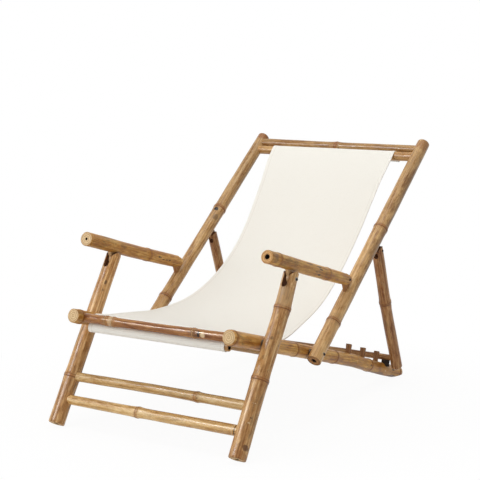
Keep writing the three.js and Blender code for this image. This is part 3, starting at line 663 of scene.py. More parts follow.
def lathe_faces(counts, row_slots):
    """Faces between rows of points, where a row of one point closes the surface."""
    faces, slots = [], []
    start = 0
    for here, there, slot in zip(counts, counts[1:], row_slots):
        after = start + here
        sides = max(here, there)
        for j in range(sides):
            k = (j + 1) % sides
            if here == 1:
                faces.append((start, after + k, after + j))
            elif there == 1:
                faces.append((start + j, start + k, after))
            else:
                faces.append((start + j, start + k, after + k, after + j))
            slots.append(slot)
        start = after
    return faces, slots


def turned_piece(name, corners, origin, axis, up, sides, material):
    """A lathe piece from a list of (along, radius) corners that starts and ends on its axis."""
    side = axis.cross(up)
    angles = np.linspace(0, 2 * math.pi, sides, endpoint=False)
    points, counts, grain = [], [], []
    for along, radius in corners:
        turns = angles if radius else angles[:1]
        for t in turns:
            a, b = radius * math.cos(t), radius * math.sin(t)
            points.append(origin + axis * along + a * up + b * side)
            grain.append((a, b, along))
        counts.append(len(turns))
    faces, slots = lathe_faces(counts, [0] * len(corners))
    made = mesh_object(name, points, faces, slots, [material])
    write_attribute(made, "grain", np.array(grain))
    soften(made, angle=35)
    return made


def dress(made, slot, body, *replaced):
    """Says which solids a piece stands for and which body it rides on; the slot it is given is not used."""
    if replaced:
        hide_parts(*replaced)
    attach(made, body)


# Poles

SKIN, END, HOLLOW = 0, 1, 2
EASE = 0.0013
BORE_DEPTH = 0.03
BORE_RIM = 0.0006
END_SHARES = (0.35, 0.7)
END_MARGIN = 0.0004
CROWN_STEPS = 8
EASE_TURNS = (0, 0.4, 0.8, 1.2)
DROOP_SOFTNESS = 0.06
SWAY = 0.0008


class Pole:
    """A round length of bamboo, by where it lies, how thick it is and how its ends are cut."""

    def __init__(self, node, body, origin, axis, up, length, **cut):
        self.node = node
        self.body = body
        self.origin = origin
        self.axis = axis
        self.up = up
        self.side = axis.cross(up)
        self.length = length
        self.form = {**cut, **CULMS[node]}
        self.root, self.tip = self.form["root"], self.form["tip"]
        self.seed = sum((i + 1) * ord(letter) for i, letter in enumerate(node)) % 97
        self.rings = [self.along_at(pixel) for pixel in RINGS.get(node, [])]
        self.spots = [self.spot(*mark) for mark in SPOTS.get(node, [])]
        self.cutters = []

    def local(self, point):
        away = point - self.origin
        return Vector((away.dot(self.up), away.dot(self.side), away.dot(self.axis)))

    def droop_at(self, along):
        """How far the last stretch of the pole hangs below its straight line."""
        if "droop" not in self.form:
            return 0.0
        stretch, depth = self.form["droop"]
        share = min(1.0, max(0.0, 1 - (self.length - along) / stretch))
        eased = share * share / (share + DROOP_SOFTNESS) * (1 + DROOP_SOFTNESS)
        return depth * (1 - (1 - eased) ** 2)

    def along_at(self, pixel):
        """How far along its axis the pole passes nearest to a pixel's ray."""
        ray = ray_of(pixel)
        plane = ray.cross(self.axis).cross(ray)
        return (CAMERA_PLACE - self.origin).dot(plane) / self.axis.dot(plane)

    def place_at(self, pixel):
        """The point of the pole's skin that a pixel shows, and the skin's outward direction there."""
        ray = ray_of(pixel)
        start = CAMERA_PLACE - self.origin
        flat_ray = ray - ray.dot(self.axis) * self.axis
        flat_start = start - start.dot(self.axis) * self.axis
        radius = (self.root + self.tip) / 2
        a = flat_ray.dot(flat_ray)
        b = flat_ray.dot(flat_start)
        c = flat_start.dot(flat_start) - radius**2
        reach = (-b - math.sqrt(max(0.0, b * b - a * c))) / a
        away = start + ray * reach
        along = away.dot(self.axis)
        out = (away - along * self.axis).normalized()
        return self.origin + along * self.axis + out * radius - self.droop_at(along) * self.up, out

    def spot(self, right, down, along, around, colour, strength):
        place, _ = self.place_at((right, down))
        reach = (around * MILLIMETRE, around * MILLIMETRE, along * MILLIMETRE)
        return tuple(self.local(place)), reach, colour, strength


# A bamboo ring, as bells of a place from the ring, a spread and a height: a thin scar with a groove before
# it, a soft swelling after it, and where the skin is darkened by the scars and browned by the collar
RING_SCAR = ((0, 0.0010, 0.00054), (-0.0030, 0.0018, -0.00042))
RING_SWELLING = ((0.0052, 0.0034, 0.0009), (0.001, 0.013, 0.0012))
SCAR_PAINT = ((0, 0.0012, 0.85), (0.0058, 0.0011, 0.5))
COLLAR_PAINT = ((0.0026, 0.0062, 0.7),)

# How far a ring may run aslant and how far it may wave
RING_TILT = (0.0004, 0.0013)
RING_WAVE = (0.0001, 0.0004)

# Waves of a culm's skin: how many round it, how fast they run along it, and how high they are
SKIN_WAVES = ((2, 7, 0.00025), (3, -11, 0.00016), (7, 37, 0.00008), (0, 51, 0.00014))


def bell(away, middle, spread, height):
    return height * np.exp(-(((away - middle) / spread) ** 2))


def bells(away, rows):
    return [bell(away, *row) for row in rows]


def ring_sway(pole, index, angle):
    """Rings run a little aslant and wavy round the pole."""
    draw = random.Random(pole.seed * 31 + index)
    tilt = draw.uniform(*RING_TILT)
    wave = draw.uniform(*RING_WAVE)
    turn = draw.uniform(0, 2 * math.pi)
    return tilt * np.sin(angle + turn) + wave * np.sin(3 * angle + 2 * turn)


def skin_radius(pole, along, angle):
    """The radius of a culm: its taper, small waves round it and along it, and its rings."""
    draw = random.Random(pole.seed)
    radius = pole.root + (pole.tip - pole.root) * along / pole.length
    for around, rate, height in SKIN_WAVES:
        radius = radius + height * np.sin(around * angle + draw.uniform(0, 2 * math.pi) + rate * along)
    for index, ring in enumerate(pole.rings):
        away = along - ring - ring_sway(pole, index, angle)
        swelling = pole.form.get("swelling", 1.0) * sum(bells(away, RING_SWELLING))
        radius = radius + sum(bells(away, RING_SCAR)) + swelling
    return radius


def end_rows(radius, form, which):
    """Rows from the middle of an end out to its edge: inward depth, radius and material."""
    bore = form.get(which + "_bore", 0)
    depth = form.get(which + "_depth", BORE_DEPTH)
    ease = form.get(which + "_ease", EASE)
    crown = form.get(which + "_crown", 0)
    if crown:
        turns = [i / CROWN_STEPS * math.pi / 2 for i in range(CROWN_STEPS)]
        return [(crown * (1 - math.cos(t)), radius * math.sin(t), SKIN) for t in turns]
    rows = [(depth, 0, HOLLOW), (depth, bore, HOLLOW), (BORE_RIM, bore, END)] if bore else [(0, 0, END)]
    rows += [(0, bore + share * (radius - ease - bore), END) for share in END_SHARES]
    for turn in EASE_TURNS:
        row = (ease * (1 - math.cos(turn)), radius - ease + ease * math.sin(turn), SKIN if turn else END)
        rows.append(row)
    return rows


def pole_rows(pole):
    """Rows from root to tip as places along the pole with a radius, which the skin's own rows leave
    open, and the material of the faces between them."""
    root = end_rows(pole.root, pole.form, "root")
    tip = end_rows(pole.tip, pole.form, "tip")
    low = root[-1][0] + END_MARGIN
    high = pole.length - (tip[-1][0] + END_MARGIN)
    count = max(2, round(pole.length / POLE_STEP))
    stations = set(np.linspace(low, high, count).tolist())
    for ring in pole.rings:
        near = ring + np.arange(-RING_REACH, RING_REACH, RING_STEP)
        stations.update(float(along) for along in near if low < along < high)
    rows = list(root)
    last_kept = -1.0
    for along in sorted(stations):
        if along - last_kept > RING_STEP / 3:
            rows.append((along, None, SKIN))
            last_kept = along
    closing = [(pole.length - depth, radius, slot) for depth, radius, slot in reversed(tip)]
    slots = [row[2] for row in rows + closing[1:]]
    return [row[:2] for row in rows + closing], slots


def pole_object(pole):
    angles = np.linspace(0, 2 * math.pi, POLE_SIDES, endpoint=False)
    up, side, axis = (np.array(v) for v in (pole.up, pole.side, pole.axis))
    outward = np.cos(angles)[:, None] * up + np.sin(angles)[:, None] * side
    rows, slots = pole_rows(pole)
    draw = random.Random(pole.seed + 5)
    sway = [draw.uniform(-SWAY, SWAY) for _ in range(2)]
    lean = pole.form.get("lean", (0.0, 0.0))
    points, counts = [], []
    for along, radius in rows:
        share = along / pole.length
        bend = math.sin(math.pi * share) ** 2
        bow = math.sin(math.pi * share ** pole.form.get("lean_power", 1.0)) ** 2
        middle = np.array(pole.origin) + axis * along - pole.droop_at(along) * up
        middle = middle + bend * (sway[0] * up + sway[1] * side) + bow * (lean[0] * up + lean[1] * side)
        if radius == 0:
            points.append(middle)
            counts.append(1)
            continue
        reach = skin_radius(pole, along, angles) if radius is None else np.full(POLE_SIDES, radius)
        points.extend(middle + reach[:, None] * outward)
        counts.append(POLE_SIDES)
    faces, face_slots = lathe_faces(counts, slots)
    materials = [bamboo_skin(pole), pole.form.get("end", END_PALE), HOLLOW_SHADE, RAW_WOOD, SLOT_WOOD]
    made = mesh_object(pole.node + "_culm", points, faces, face_slots, materials)
    for cutter, operation in pole.cutters:
        carve(made, cutter, operation)
    paint_pole(made, pole)
    soften(made, angle=38)
    return made


def paint_pole(made, pole):
    """Writes each point's place in the pole's own frame, and how near it is to a ring."""
    local = write_grain(made, pole.origin, pole.up, pole.side, pole.axis)
    angle = np.arctan2(local[:, 1], local[:, 0])
    scar = np.zeros(len(local))
    collar = np.zeros(len(local))
    for index, ring in enumerate(pole.rings):
        away = local[:, 2] - ring - ring_sway(pole, index, angle)
        scar = np.max([scar, *bells(away, SCAR_PAINT)], axis=0)
        collar = np.max([collar, *bells(away, COLLAR_PAINT)], axis=0)
    write_attribute(made, "scar", scar)
    write_attribute(made, "collar", collar)


# Cutters for the poles' ends
CUT_HALF = 0.06
SLOT_REACH = 0.1
KEEPER_MARGIN = 0.02
KEEPER_EASE = 0.0015
FAR_AWAY = 2.0


def slot_cutter(pivot, axis, depth, width):
    """The open slot of a fork: it runs along the pole, with a round bottom, right through it."""
    half = width / 2
    outline = arc((-depth + half, 0), half, math.pi / 2, 3 * math.pi / 2, steps=12)
    outline += [(SLOT_REACH, -half), (SLOT_REACH, half)]
    return prism("slot_cutter", outline, CUT_HALF, pivot, axis, ACROSS, SLOT_WOOD, through=square_to(axis))


def round_keeper(pivot, axis, radius):
    """What is left of a fork whose end is rounded about its bolt."""
    wide = radius + KEEPER_MARGIN
    outline = [(0, -wide), (0, -radius)] + arc((0, 0), radius, -math.pi / 2, math.pi / 2, steps=24)[1:-1]
    outline += [(0, radius), (0, wide), (-FAR_AWAY, wide), (-FAR_AWAY, -wide)]
    return prism("round_keeper", outline, CUT_HALF, pivot, axis, square_to(axis), RAW_WOOD)


def cut_at_floor(pole):
    outline = [(-FAR_AWAY, -FAR_AWAY), (FAR_AWAY, -FAR_AWAY), (FAR_AWAY, 0), (-FAR_AWAY, 0)]
    floor = prism("floor_cutter", outline, FAR_AWAY, Vector((0, 0, 0)), BACKWARD, UPWARD, RAW_WOOD)
    pole.cutters.append((floor, "DIFFERENCE"))


def cut_fork(pole, pivot, toward, depth, radius, width=FORK_WIDTH):
    """Cuts a pole's end to a fork about its bolt, where the fork's open end points toward a direction."""
    pole.cutters.append((slot_cutter(pivot, toward, depth, width), "DIFFERENCE"))
    pole.cutters.append((round_keeper(pivot, toward, radius - KEEPER_EASE), "INTERSECT"))


poles = {}


def add_pole(node, body, origin, axis, length, up=None, **cut):
    up = square_to(axis) if up is None else up
    poles[node] = Pole(node, body, origin, axis, up, length, **cut)
    return poles[node]


def side_poles():
    """The poles on both sides of the chair."""
    leg_length = (FORK_PIVOT - LEG_START).length + LEG_RADIUS
    back_start = BACK_PIVOT - BACK_AXIS * BACK_TAIL
    arm_start = ARM_PIVOT - ARM_AXIS * ARM_TAIL_RADIUS
    prop_span = (PROP_PIVOT - centre_of("prop_bar")).length
    for word, sign in SIDES:
        near = sign > 0
        inner, outer = sign * RAIL_X * ACROSS, sign * OUTER_X * ACROSS
        rail = add_pole("seat_rail_" + word, "seat_frame", RAIL_START + inner, RAIL_AXIS,
                        RAIL_LENGTH + near * NEAR_TIP_EXTRA, root_ease=0.002, swelling=0.65)
        cut_at_floor(rail)
        leg = add_pole("front_leg_" + word, "front_legs", LEG_START + outer, LEG_AXIS, leg_length,
                       root_bore=0.006, root_ease=0.0025)
        cut_fork(leg, FORK_PIVOT + outer, LEG_AXIS, LEG_SLOT_DEPTH, LEG_RADIUS, LEG_SLOT_WIDTH)
        cut_at_floor(leg)
        add_pole("back_rail_" + word, "back_frame", back_start + outer, BACK_AXIS, BACK_TAIL + BACK_REACH,
                 root_bore=0.0065, root_depth=0.016, tip_crown=BACK_CROWN, end=END_BURNT)
        arm = add_pole("armrest_" + word, "arm_" + word, arm_start + outer, ARM_AXIS,
                       ARM_REACH + ARM_TAIL_RADIUS, swelling=0.65, tip_depth=0.045)
        cut_fork(arm, ARM_PIVOT + outer, -ARM_AXIS, ARM_SLOT_DEPTH, ARM_TAIL_RADIUS)
        reach = prop_span + PROP_TAIL + near * NEAR_FOOT_EXTRA
        prop = add_pole("prop_leg_" + word, "prop_frame", PROP_PIVOT - PROP_AXIS * reach + outer, PROP_AXIS,
                        reach + PROP_RADIUS, root_crown=0.011)
        cut_fork(prop, PROP_PIVOT + outer, PROP_AXIS, PROP_SLOT_DEPTH, PROP_RADIUS)


def bars():
    """The poles that run across the chair: most are let into the poles beside them."""
    seat_half = RAIL_X - RAIL_RADIUS + SOCKET_DEPTH
    legs_half = OUTER_X - LEG_RADIUS + SOCKET_DEPTH
    back_half = OUTER_X - BACK_RADIUS + SOCKET_DEPTH
    prop_half = OUTER_X - PROP_RADIUS + SOCKET_DEPTH
    rod_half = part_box("sling_rod_front")[1].x
    places = (
        ("front_crossbar", "seat_frame", seat_half),
        ("sling_crossbar_front", "seat_frame", seat_half),
        ("upper_stretcher", "front_legs", legs_half),
        ("lower_stretcher", "front_legs", legs_half),
        ("top_crossbar", "back_frame", back_half),
        ("sling_crossbar_top", "back_frame", back_half),
        ("prop_bar", "prop_frame", prop_half),
        ("sling_rod_front", "seat_frame", rod_half),
        ("sling_rod_top", "back_frame", rod_half),
    )
    for node, body, half in places:
        add_pole(node, body, centre_of(node) - half * ACROSS, ACROSS, 2 * half, up=UPWARD)


PIN_RADIUS = 0.0021
PIN_PROUD = 0.0004
PIN_LENGTH = 0.006
PIN_SIDES = 16


def pin(pole, number, pixel):
    """The end of a small dowel that is driven through a joint."""
    place, out = pole.place_at(pixel)
    corners = [
        (-PIN_LENGTH, 0),
        (-PIN_LENGTH, PIN_RADIUS),
        (PIN_PROUD * 0.5, PIN_RADIUS),
        (PIN_PROUD, PIN_RADIUS * 0.8),
        (PIN_PROUD, 0),
    ]
    made = turned_piece(f"{pole.node}_pin_{number}", corners, place, out, pole.axis, PIN_SIDES, PIN_WOOD)
    dress(made, "peg_wood", pole.body)


def build_poles():
    side_poles()
    bars()
    for pole in poles.values():
        dress(pole_object(pole), pole.form["tone"].slot, pole.body, pole.node)
    for node, pixels in PINS.items():
        for number, pixel in enumerate(pixels, 1):
            pin(poles[node], number, pixel)


# Small wooden parts: pegs, the block under the prop's bar, whose near-black colour is painted shadow, ears
# and tongues

PEG_ALONG = 0.652
PEG_PITCH = 0.0943
PEG_WIDTH = 0.013
PEG_TOP_WIDTH = 0.0165
PEG_THICKNESS = 0.008
PEG_HEIGHTS = (0.02592, 0.024, 0.02208)
PEG_SEAT = 0.009
PEG_ROOT = 0.001
PEG_EASE = 0.0009
PEG_SLANT = 0.0012
PEG_TOP_FALL = 0.001
PEG_TOP_FACING = 0.7
PAD_SEAT = 0.010
PAD_RISE = 0.001
PAD_FOOT = (-0.009, 0.007)
PAD_TOP = (-0.008, 0.006)
PAD_HALF = 0.0105
PAD_OUTWARD = 0.011
PAD_EASE = 0.001
ARM_EAR = {"nose": 0.016, "root": 0.0255, "reach": 0.0465, "ease": 0.0016}
PROP_EAR = {"nose": 0.0115, "root": 0.020, "reach": 0.037, "ease": 0.0012}
EAR_THICKNESS = 0.009
LET_IN = 0.009
TONGUE_NOSE = 0.012
TONGUE_ROOT = 0.026
TONGUE_THICKNESS = 0.0135
TONGUE_TIP = 0.006
TONGUE_EASE = 0.0018


def widened(made, origin, toward, start, end, share):
    """Scales a plate's thickness along X from 1 at a start to a share of it at an end."""
    for vertex in made.data.vertices:
        reach = ((vertex.co - origin).dot(toward) - start) / (end - start)
        factor = 1 + (share - 1) * min(1.0, max(0.0, reach))
        vertex.co.x = origin.x + (vertex.co.x - origin.x) * factor


def wooden(made, body, origin, along, up, ease, *replaced):
    """Finishes a sawn piece: its edges are eased, and its grain runs along one direction."""
    modified(made, "BEVEL", width=ease, segments=2, limit_method="ANGLE")
    write_grain(made, origin, up, along.cross(up), along)
    soften(made, angle=40)
    dress(made, "peg_wood", body, *replaced)


def build_peg(word, sign, number):
    node = f"peg_{word}_{number + 1}"
    up = square_to(RAIL_AXIS)
    along = PEG_ALONG + number * PEG_PITCH
    foot = RAIL_START + RAIL_AXIS * along + up * RAIL_RADIUS
    foot.x = sign * RAIL_X
    seat = PEG_SEAT + poles["seat_rail_" + word].droop_at(along)
    slant = random.Random(number * 7 + sign).uniform(-PEG_SLANT, PEG_SLANT)
    half, height = PEG_THICKNESS / 2, PEG_HEIGHTS[number]
    outline = [(-half, -seat), (half, -seat), (half, PEG_ROOT)]
    outline += [(half + slant, height - PEG_TOP_FALL), (-half + slant, height), (-half, PEG_ROOT)]
    made = prism(node + "_slip", outline, PEG_WIDTH / 2, foot, RAIL_AXIS, up, PEG_WOOD)
    made.data.materials.append(PEG_TOP)
    for face in made.data.polygons:
        face.material_index = int(face.normal.dot(up) > PEG_TOP_FACING)
    widened(made, foot, up, PEG_ROOT, height, PEG_TOP_WIDTH / PEG_WIDTH)
    wooden(made, "seat_frame", foot, up, RAIL_AXIS, PEG_EASE, node)


def build_pegs():
    for word, sign in SIDES:
        for number in range(3):
            build_peg(word, sign, number)


def build_rest_pad():
    """The block on the near rail on which the bar of the prop frame lies: its near-black wood is painted
    shadow where bar, leg and rail meet.
    """
    rail = poles["seat_rail_right"]
    bar_along = rail.local(centre_of("prop_bar")).z
    low = RAIL_RADIUS - rail.droop_at(bar_along) - PAD_SEAT
    high = RAIL_RADIUS + PAD_RISE
    foot = rail.origin + rail.axis * bar_along + PAD_OUTWARD * ACROSS
    outline = [(PAD_FOOT[0], low), (PAD_FOOT[1], low), (PAD_TOP[1], high), (PAD_TOP[0], high)]
    made = prism("rest_pad_right", outline, PAD_HALF, foot, rail.axis, rail.up, PAD_SHADOW_WOOD)
    wooden(made, "seat_frame", foot, rail.up, rail.axis, PAD_EASE)


def ear_outline(nose, root, depth):
    """A rounded nose about the bolt that widens to its root in the pole."""
    slope = math.atan2(root - nose, depth)
    return [(-root, -depth), (root, -depth)] + arc((0, 0), nose, -slope, math.pi + slope, steps=28)


def build_ear(name, word, pivot, outward, nose, root, reach, ease):
    """An ear of the back frame, let into the pole that lies a reach away from its bolt."""
    outline = ear_outline(nose, root, reach - BACK_RADIUS + LET_IN)
    made = prism(f"{name}_plate_{word}", outline, EAR_THICKNESS / 2, pivot, BACK_AXIS, outward, EAR_WOOD)
    wooden(made, "back_frame", pivot, outward, BACK_AXIS, ease, f"{name}_{word}")


def build_tongue(word, pivot):
    """The tongue under an armrest, which is thinnest at its nose, in the fork of the leg."""
    up = square_to(ARM_AXIS)
    toward_arm = up if up.z > 0 else -up
    depth = ARM_RISE - ARM_RADIUS + LET_IN
    outline = ear_outline(TONGUE_NOSE, TONGUE_ROOT, depth)
    made = prism("arm_tongue_plate_" + word, outline, TONGUE_THICKNESS / 2, pivot, ARM_AXIS, -toward_arm,
                 TONGUE_WOOD)
    widened(made, pivot, -toward_arm, -depth, TONGUE_NOSE, TONGUE_TIP / TONGUE_THICKNESS)
    wooden(made, "arm_" + word, pivot, toward_arm, ARM_AXIS, TONGUE_EASE, "arm_tongue_" + word)


def build_ears():
    """Ears on the back frame and tongues under the armrests."""
    forward = square_to(BACK_AXIS)
    for word, sign in SIDES:
        outer = sign * OUTER_X * ACROSS
        build_ear("arm_ear", word, ARM_PIVOT + outer, forward, **ARM_EAR)
        build_ear("prop_ear", word, PROP_PIVOT + outer, -forward, **PROP_EAR)
        build_tongue(word, FORK_PIVOT + outer)


# Bolts, washers and spacers, as (along, radius) corners in the order of rising X

BOLT_RADIUS = 0.003
BOLT_INSET = 0.003
SPOT_DEPTH = 0.0014
FIT_GAP = 0.0003
WASHER_RADIUS = 0.006
WASHER_THICKNESS = 0.0016
WASHER_EASE = 0.0004
HEAD_START = WASHER_THICKNESS * 0.8
SPACER_EASE = 0.0006
HEAD_RADIUS = 0.0038
HEAD_HEIGHT = 0.0034
BOLT_SIDES = 28
WASHER_SIDES = 32
SPACER_SIDES = 36

# A low domed head with a small recess in its top, as shares of its height and its radius
HEAD_FORM = ((0, 1), (0.45, 1), (0.75, 0.86), (1, 0.55), (1, 0.42), (0.55, 0.38), (0.55, 0))
FORK_BOLTS = (
    ("arm_front_bolt_", "front_legs", LEG_RADIUS),
    ("arm_rear_bolt_", "back_frame", ARM_TAIL_RADIUS),
    ("prop_bolt_", "back_frame", PROP_RADIUS),
)
RAIL_BOLTS = (("leg_bolt_", LEG_RADIUS), ("back_bolt_", BACK_RADIUS))


def disc_corners(low, high, radius, ease):
    """A disc with eased rims."""
    rim = [(low, radius - ease), (low + ease, radius), (high - ease, radius), (high, radius - ease)]
    return [(low, 0)] + rim + [(high, 0)]


def head_corners(face, sign):
    """A bolt head or nut on its washer, from the bolt outwards to the middle of its top."""
    start = face + sign * HEAD_START
    return [(start + sign * HEAD_HEIGHT * rise, HEAD_RADIUS * share) for rise, share in HEAD_FORM]


def turned_steel(name, corners, origin, sides, steel, slot, body, *replaced):
    made = turned_piece(name, corners, origin, ACROSS, UPWARD, sides, steel)
    dress(made, slot, body, *replaced)


def add_washer(name, body, origin, face, sign):
    low, high = sorted((face, face + sign * WASHER_THICKNESS))
    corners = disc_corners(low, high, WASHER_RADIUS, WASHER_EASE)
    turned_steel(name, corners, origin, WASHER_SIDES, WASHER_STEEL, "steel", body)


def add_bolt(node, body, corners):
    turned_steel(node + "_steel", corners, pivot_of(node), BOLT_SIDES, BLACK_STEEL, "dark_steel", body, node)


def build_rail_bolt(node, low, high):
    """A long bolt through a rail and the pole beside it, with a nut inside and a head outside."""
    for number, (face, sign) in enumerate(((low, -1), (high, 1)), 1):
        add_washer(f"{node}_washer_{number}", "seat_frame", pivot_of(node), face, sign)
    nut = head_corners(low, -1)[::-1]
    add_bolt(node, "seat_frame", nut + [(low, BOLT_RADIUS), (high, BOLT_RADIUS)] + head_corners(high, 1))


def build_fork_bolt(node, body, sign, radius):
    """A short bolt of a fork: its head is outside, and its end is hidden in the inner cheek."""
    face = sign * (OUTER_X + radius - SPOT_DEPTH + FIT_GAP)
    inner = sign * (OUTER_X - radius + BOLT_INSET)
    add_washer(node + "_washer", body, pivot_of(node), face, sign)
    corners = [(inner, 0), (inner, BOLT_RADIUS), (face, BOLT_RADIUS)] + head_corners(face, sign)
    add_bolt(node, body, corners[::sign])


def build_spacer(name, word):
    low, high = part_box(name + word)
    half = (high.x - low.x) / 2
    corners = disc_corners(-half, half, (high.z - low.z) / 2, SPACER_EASE)
    turned_steel(name + "disc_" + word, corners, (low + high) / 2, SPACER_SIDES, SPACER_STEEL_SHADED, "steel",
                 "seat_frame", name + word)


def build_fasteners():
    for word, sign in SIDES:
        for name, body, radius in FORK_BOLTS:
            build_fork_bolt(name + word, body, sign, radius)
        for name, radius in RAIL_BOLTS:
            inner = sign * (RAIL_X - RAIL_RADIUS + SPOT_DEPTH - FIT_GAP)
            outer = sign * (OUTER_X + radius - SPOT_DEPTH + FIT_GAP)
            build_rail_bolt(name + word, *sorted((inner, outer)))
        for name in ("leg_spacer_", "back_spacer_"):
            build_spacer(name, word)


# Sling

SLING_HALF = 0.212
CLOTH_HALF = 0.0006
HEM_HALF = 0.0011
HEM_PLACES = (0, 0.15, 0.5, 0.85, 1.0, 1.12)
INNER_START = 2.2
INNER_COLUMNS = 25
HEM_SOFTNESS = 0.006
SLEEVE_GAP = 0.0012
SLEEVE_OPENING = 0.9
SLEEVE_STEPS = 46
FLAP_SHARE = 0.15
FLAP_GAP = 0.0002
BAR_GAP = 0.0013
BAR_STEPS = 14
FRONT_PULL = 0.596
BACK_PULL = 0.315
FRONT_LEAVE = math.radians(-14.6)
BACK_LEAVE = math.radians(43.8)
SAG_STEPS = 180
CLOTH_STEP = 0.003

# How the cloth hangs, as bells of a place counted from the back hinge, a spread and a height
WAIST = (0.352, 0.200, 0.018)
BACK_SINK = (0.422, 0.110, 0.009)
SEAT_SINK = (-0.078, 0.090, 0.010)
EDGE_SKEW = (-0.088, 0.130, 0.018)
BAR_REACH = 0.09
FRONT_SHIFT = -0.006
SHIFT_REACH = 0.30


def heading(angle):
    return np.array([math.cos(angle), math.sin(angle)])


def flat(point):
    return np.array([point.y, point.z])


def bezier(points, shares):
    s = shares[:, None]
    a, b, c, d = points
    return (1 - s) ** 3 * a + 3 * (1 - s) ** 2 * s * b + 3 * (1 - s) * s**2 * c + s**3 * d


def turn_about(centre, radius, start, end, steps):
    angles = np.linspace(start, end, steps)
    return centre + radius * np.stack([np.cos(angles), np.sin(angles)], axis=1)


def sleeve_line(rod, slit, bar_side):
    """The cloth's middle line from the end of its sleeve, round the rod and up to the slit."""
    reach = slit - rod
    beside = np.array([-reach[1], reach[0]]) / np.linalg.norm(reach)
    start = math.atan2(reach[1], reach[0]) + bar_side * SLEEVE_OPENING
    end = start + bar_side * (2 * math.pi - 2 * SLEEVE_OPENING)
    loop = turn_about(rod, ROD_RADIUS + SLEEVE_GAP, start, end, SLEEVE_STEPS)
    flap = slit - reach * FLAP_SHARE - bar_side * (2 * HEM_HALF + FLAP_GAP) * beside
    return np.vstack([flap, loop, slit])


def sling_line():
    """The cloth's middle line in the Y-Z plane, from sleeve to sleeve, and where its sag starts and ends."""
    bar, top = flat(centre_of("sling_crossbar_front")), flat(centre_of("sling_crossbar_top"))
    front_rod, top_rod = flat(centre_of("sling_rod_front")), flat(centre_of("sling_rod_top"))
    radius = BAR_RADIUS + BAR_GAP
    forward_angle = math.atan2(RAIL_AXIS.z, RAIL_AXIS.y) + math.pi
    back_angle = math.atan2(BACK_AXIS.z, BACK_AXIS.y)
    front_over = turn_about(bar, radius, forward_angle, FRONT_LEAVE + math.pi / 2, BAR_STEPS)
    top_over = turn_about(top, radius, BACK_LEAVE + math.pi / 2, back_angle, BAR_STEPS)
    start, end = front_over[-1], top_over[0]
    pulls = [start, start + FRONT_PULL * heading(FRONT_LEAVE), end - BACK_PULL * heading(BACK_LEAVE), end]
    sag = bezier(pulls, np.linspace(0, 1, SAG_STEPS))
    front = sleeve_line(front_rod, bar + radius * heading(forward_angle), 1)
    back = sleeve_line(top_rod, top + radius * heading(back_angle), -1)[::-1]
    line = np.vstack([front[:-1], front_over[:-1], sag[:-1], top_over[:-1], back])
    return line, start[0], end[0]


def resampled(line, step):
    lengths = np.concatenate([[0], np.cumsum(np.linalg.norm(np.diff(line, axis=0), axis=1))])
    marks = np.linspace(0, lengths[-1], int(lengths[-1] / step) + 1)
    return np.stack([np.interp(marks, lengths, line[:, i]) for i in (0, 1)], axis=1), marks


def smooth_rise(value, reach):
    share = np.clip(value / reach, 0, 1)
    return share * share * (3 - 2 * share)


def cloth_columns():
    """Places across the cloth from -1 to 1, closer together at the hems."""
    hem = HEM_WIDTH / SLING_HALF
    left = [-1 + hem * share for share in HEM_PLACES]
    inner = np.linspace(-1 + INNER_START * hem, 1 - INNER_START * hem, INNER_COLUMNS).tolist()
    return np.array(left + inner + [-x for x in reversed(left)])


def cloth_points(line, marks, columns, sag_start, sag_end):
    """Points of the cloth's upper side and then of its lower side, and their places on the flat cloth."""
    ahead = np.gradient(line, axis=0)
    ahead /= np.linalg.norm(ahead, axis=1)[:, None]
    normals = np.stack([-ahead[:, 1], ahead[:, 0]], axis=1)
    hem = 1 - HEM_WIDTH / SLING_HALF
    free = smooth_rise(line[:, 0] - sag_start, BAR_REACH) * smooth_rise(sag_end - line[:, 0], BAR_REACH)
    place_y = line[:, 0] - BACK_PIVOT.y
    draw = free * bell(place_y, *WAIST)
    sink = free * sum(bells(place_y, (BACK_SINK, SEAT_SINK)))
    skew = free * bell(place_y, *EDGE_SKEW)
    shift = FRONT_SHIFT * smooth_rise(-place_y, SHIFT_REACH)
    points, cloth = [], []
    for sign in (1, -1):
        for i, place in enumerate(line):
            for t in columns:
                share = min(1.0, max(0.0, (abs(t) - hem) / HEM_SOFTNESS + 0.5))
                thick = CLOTH_HALF + (HEM_HALF - CLOTH_HALF) * share
                y, z = place + sign * thick * normals[i]
                points.append((t * (SLING_HALF - draw[i]) + shift[i], y, z - sink[i] - skew[i] * t))
                cloth.append((t * SLING_HALF, marks[i], (1 - abs(t)) * SLING_HALF))
    return points, np.array(cloth)


def cloth_faces(rows, width):
    """Faces of the upper and the lower side, of the two side edges and of the two ends."""
    faces = []
    under = rows * width
    for i in range(rows - 1):
        for j in range(width - 1):
            a, b = i * width + j, i * width + j + 1
            c, d = b + width, a + width
            faces.append((a, b, c, d))
            faces.append((under + d, under + c, under + b, under + a))
        for a, b in ((i * width, (i + 1) * width), ((i + 2) * width - 1, (i + 1) * width - 1)):
            faces.append((a, b, under + b, under + a))
    last = (rows - 1) * width
    for j in range(width - 1):
        faces.append((j + 1, j, under + j, under + j + 1))
        faces.append((last + j, last + j + 1, under + last + j + 1, under + last + j))
    return faces


def build_sling():
    path, sag_start, sag_end = sling_line()
    line, marks = resampled(path, CLOTH_STEP)
    columns = cloth_columns()
    points, cloth = cloth_points(line, marks, columns, sag_start, sag_end)
    faces = cloth_faces(len(line), len(columns))
    made = mesh_object("sling_cloth", points, faces, [0] * len(faces), [CANVAS])
    write_attribute(made, "cloth", cloth)
    soften(made, angle=60)
    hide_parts("sling_seat", "sling_back")
    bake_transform(made)


# Floor, world and lamps

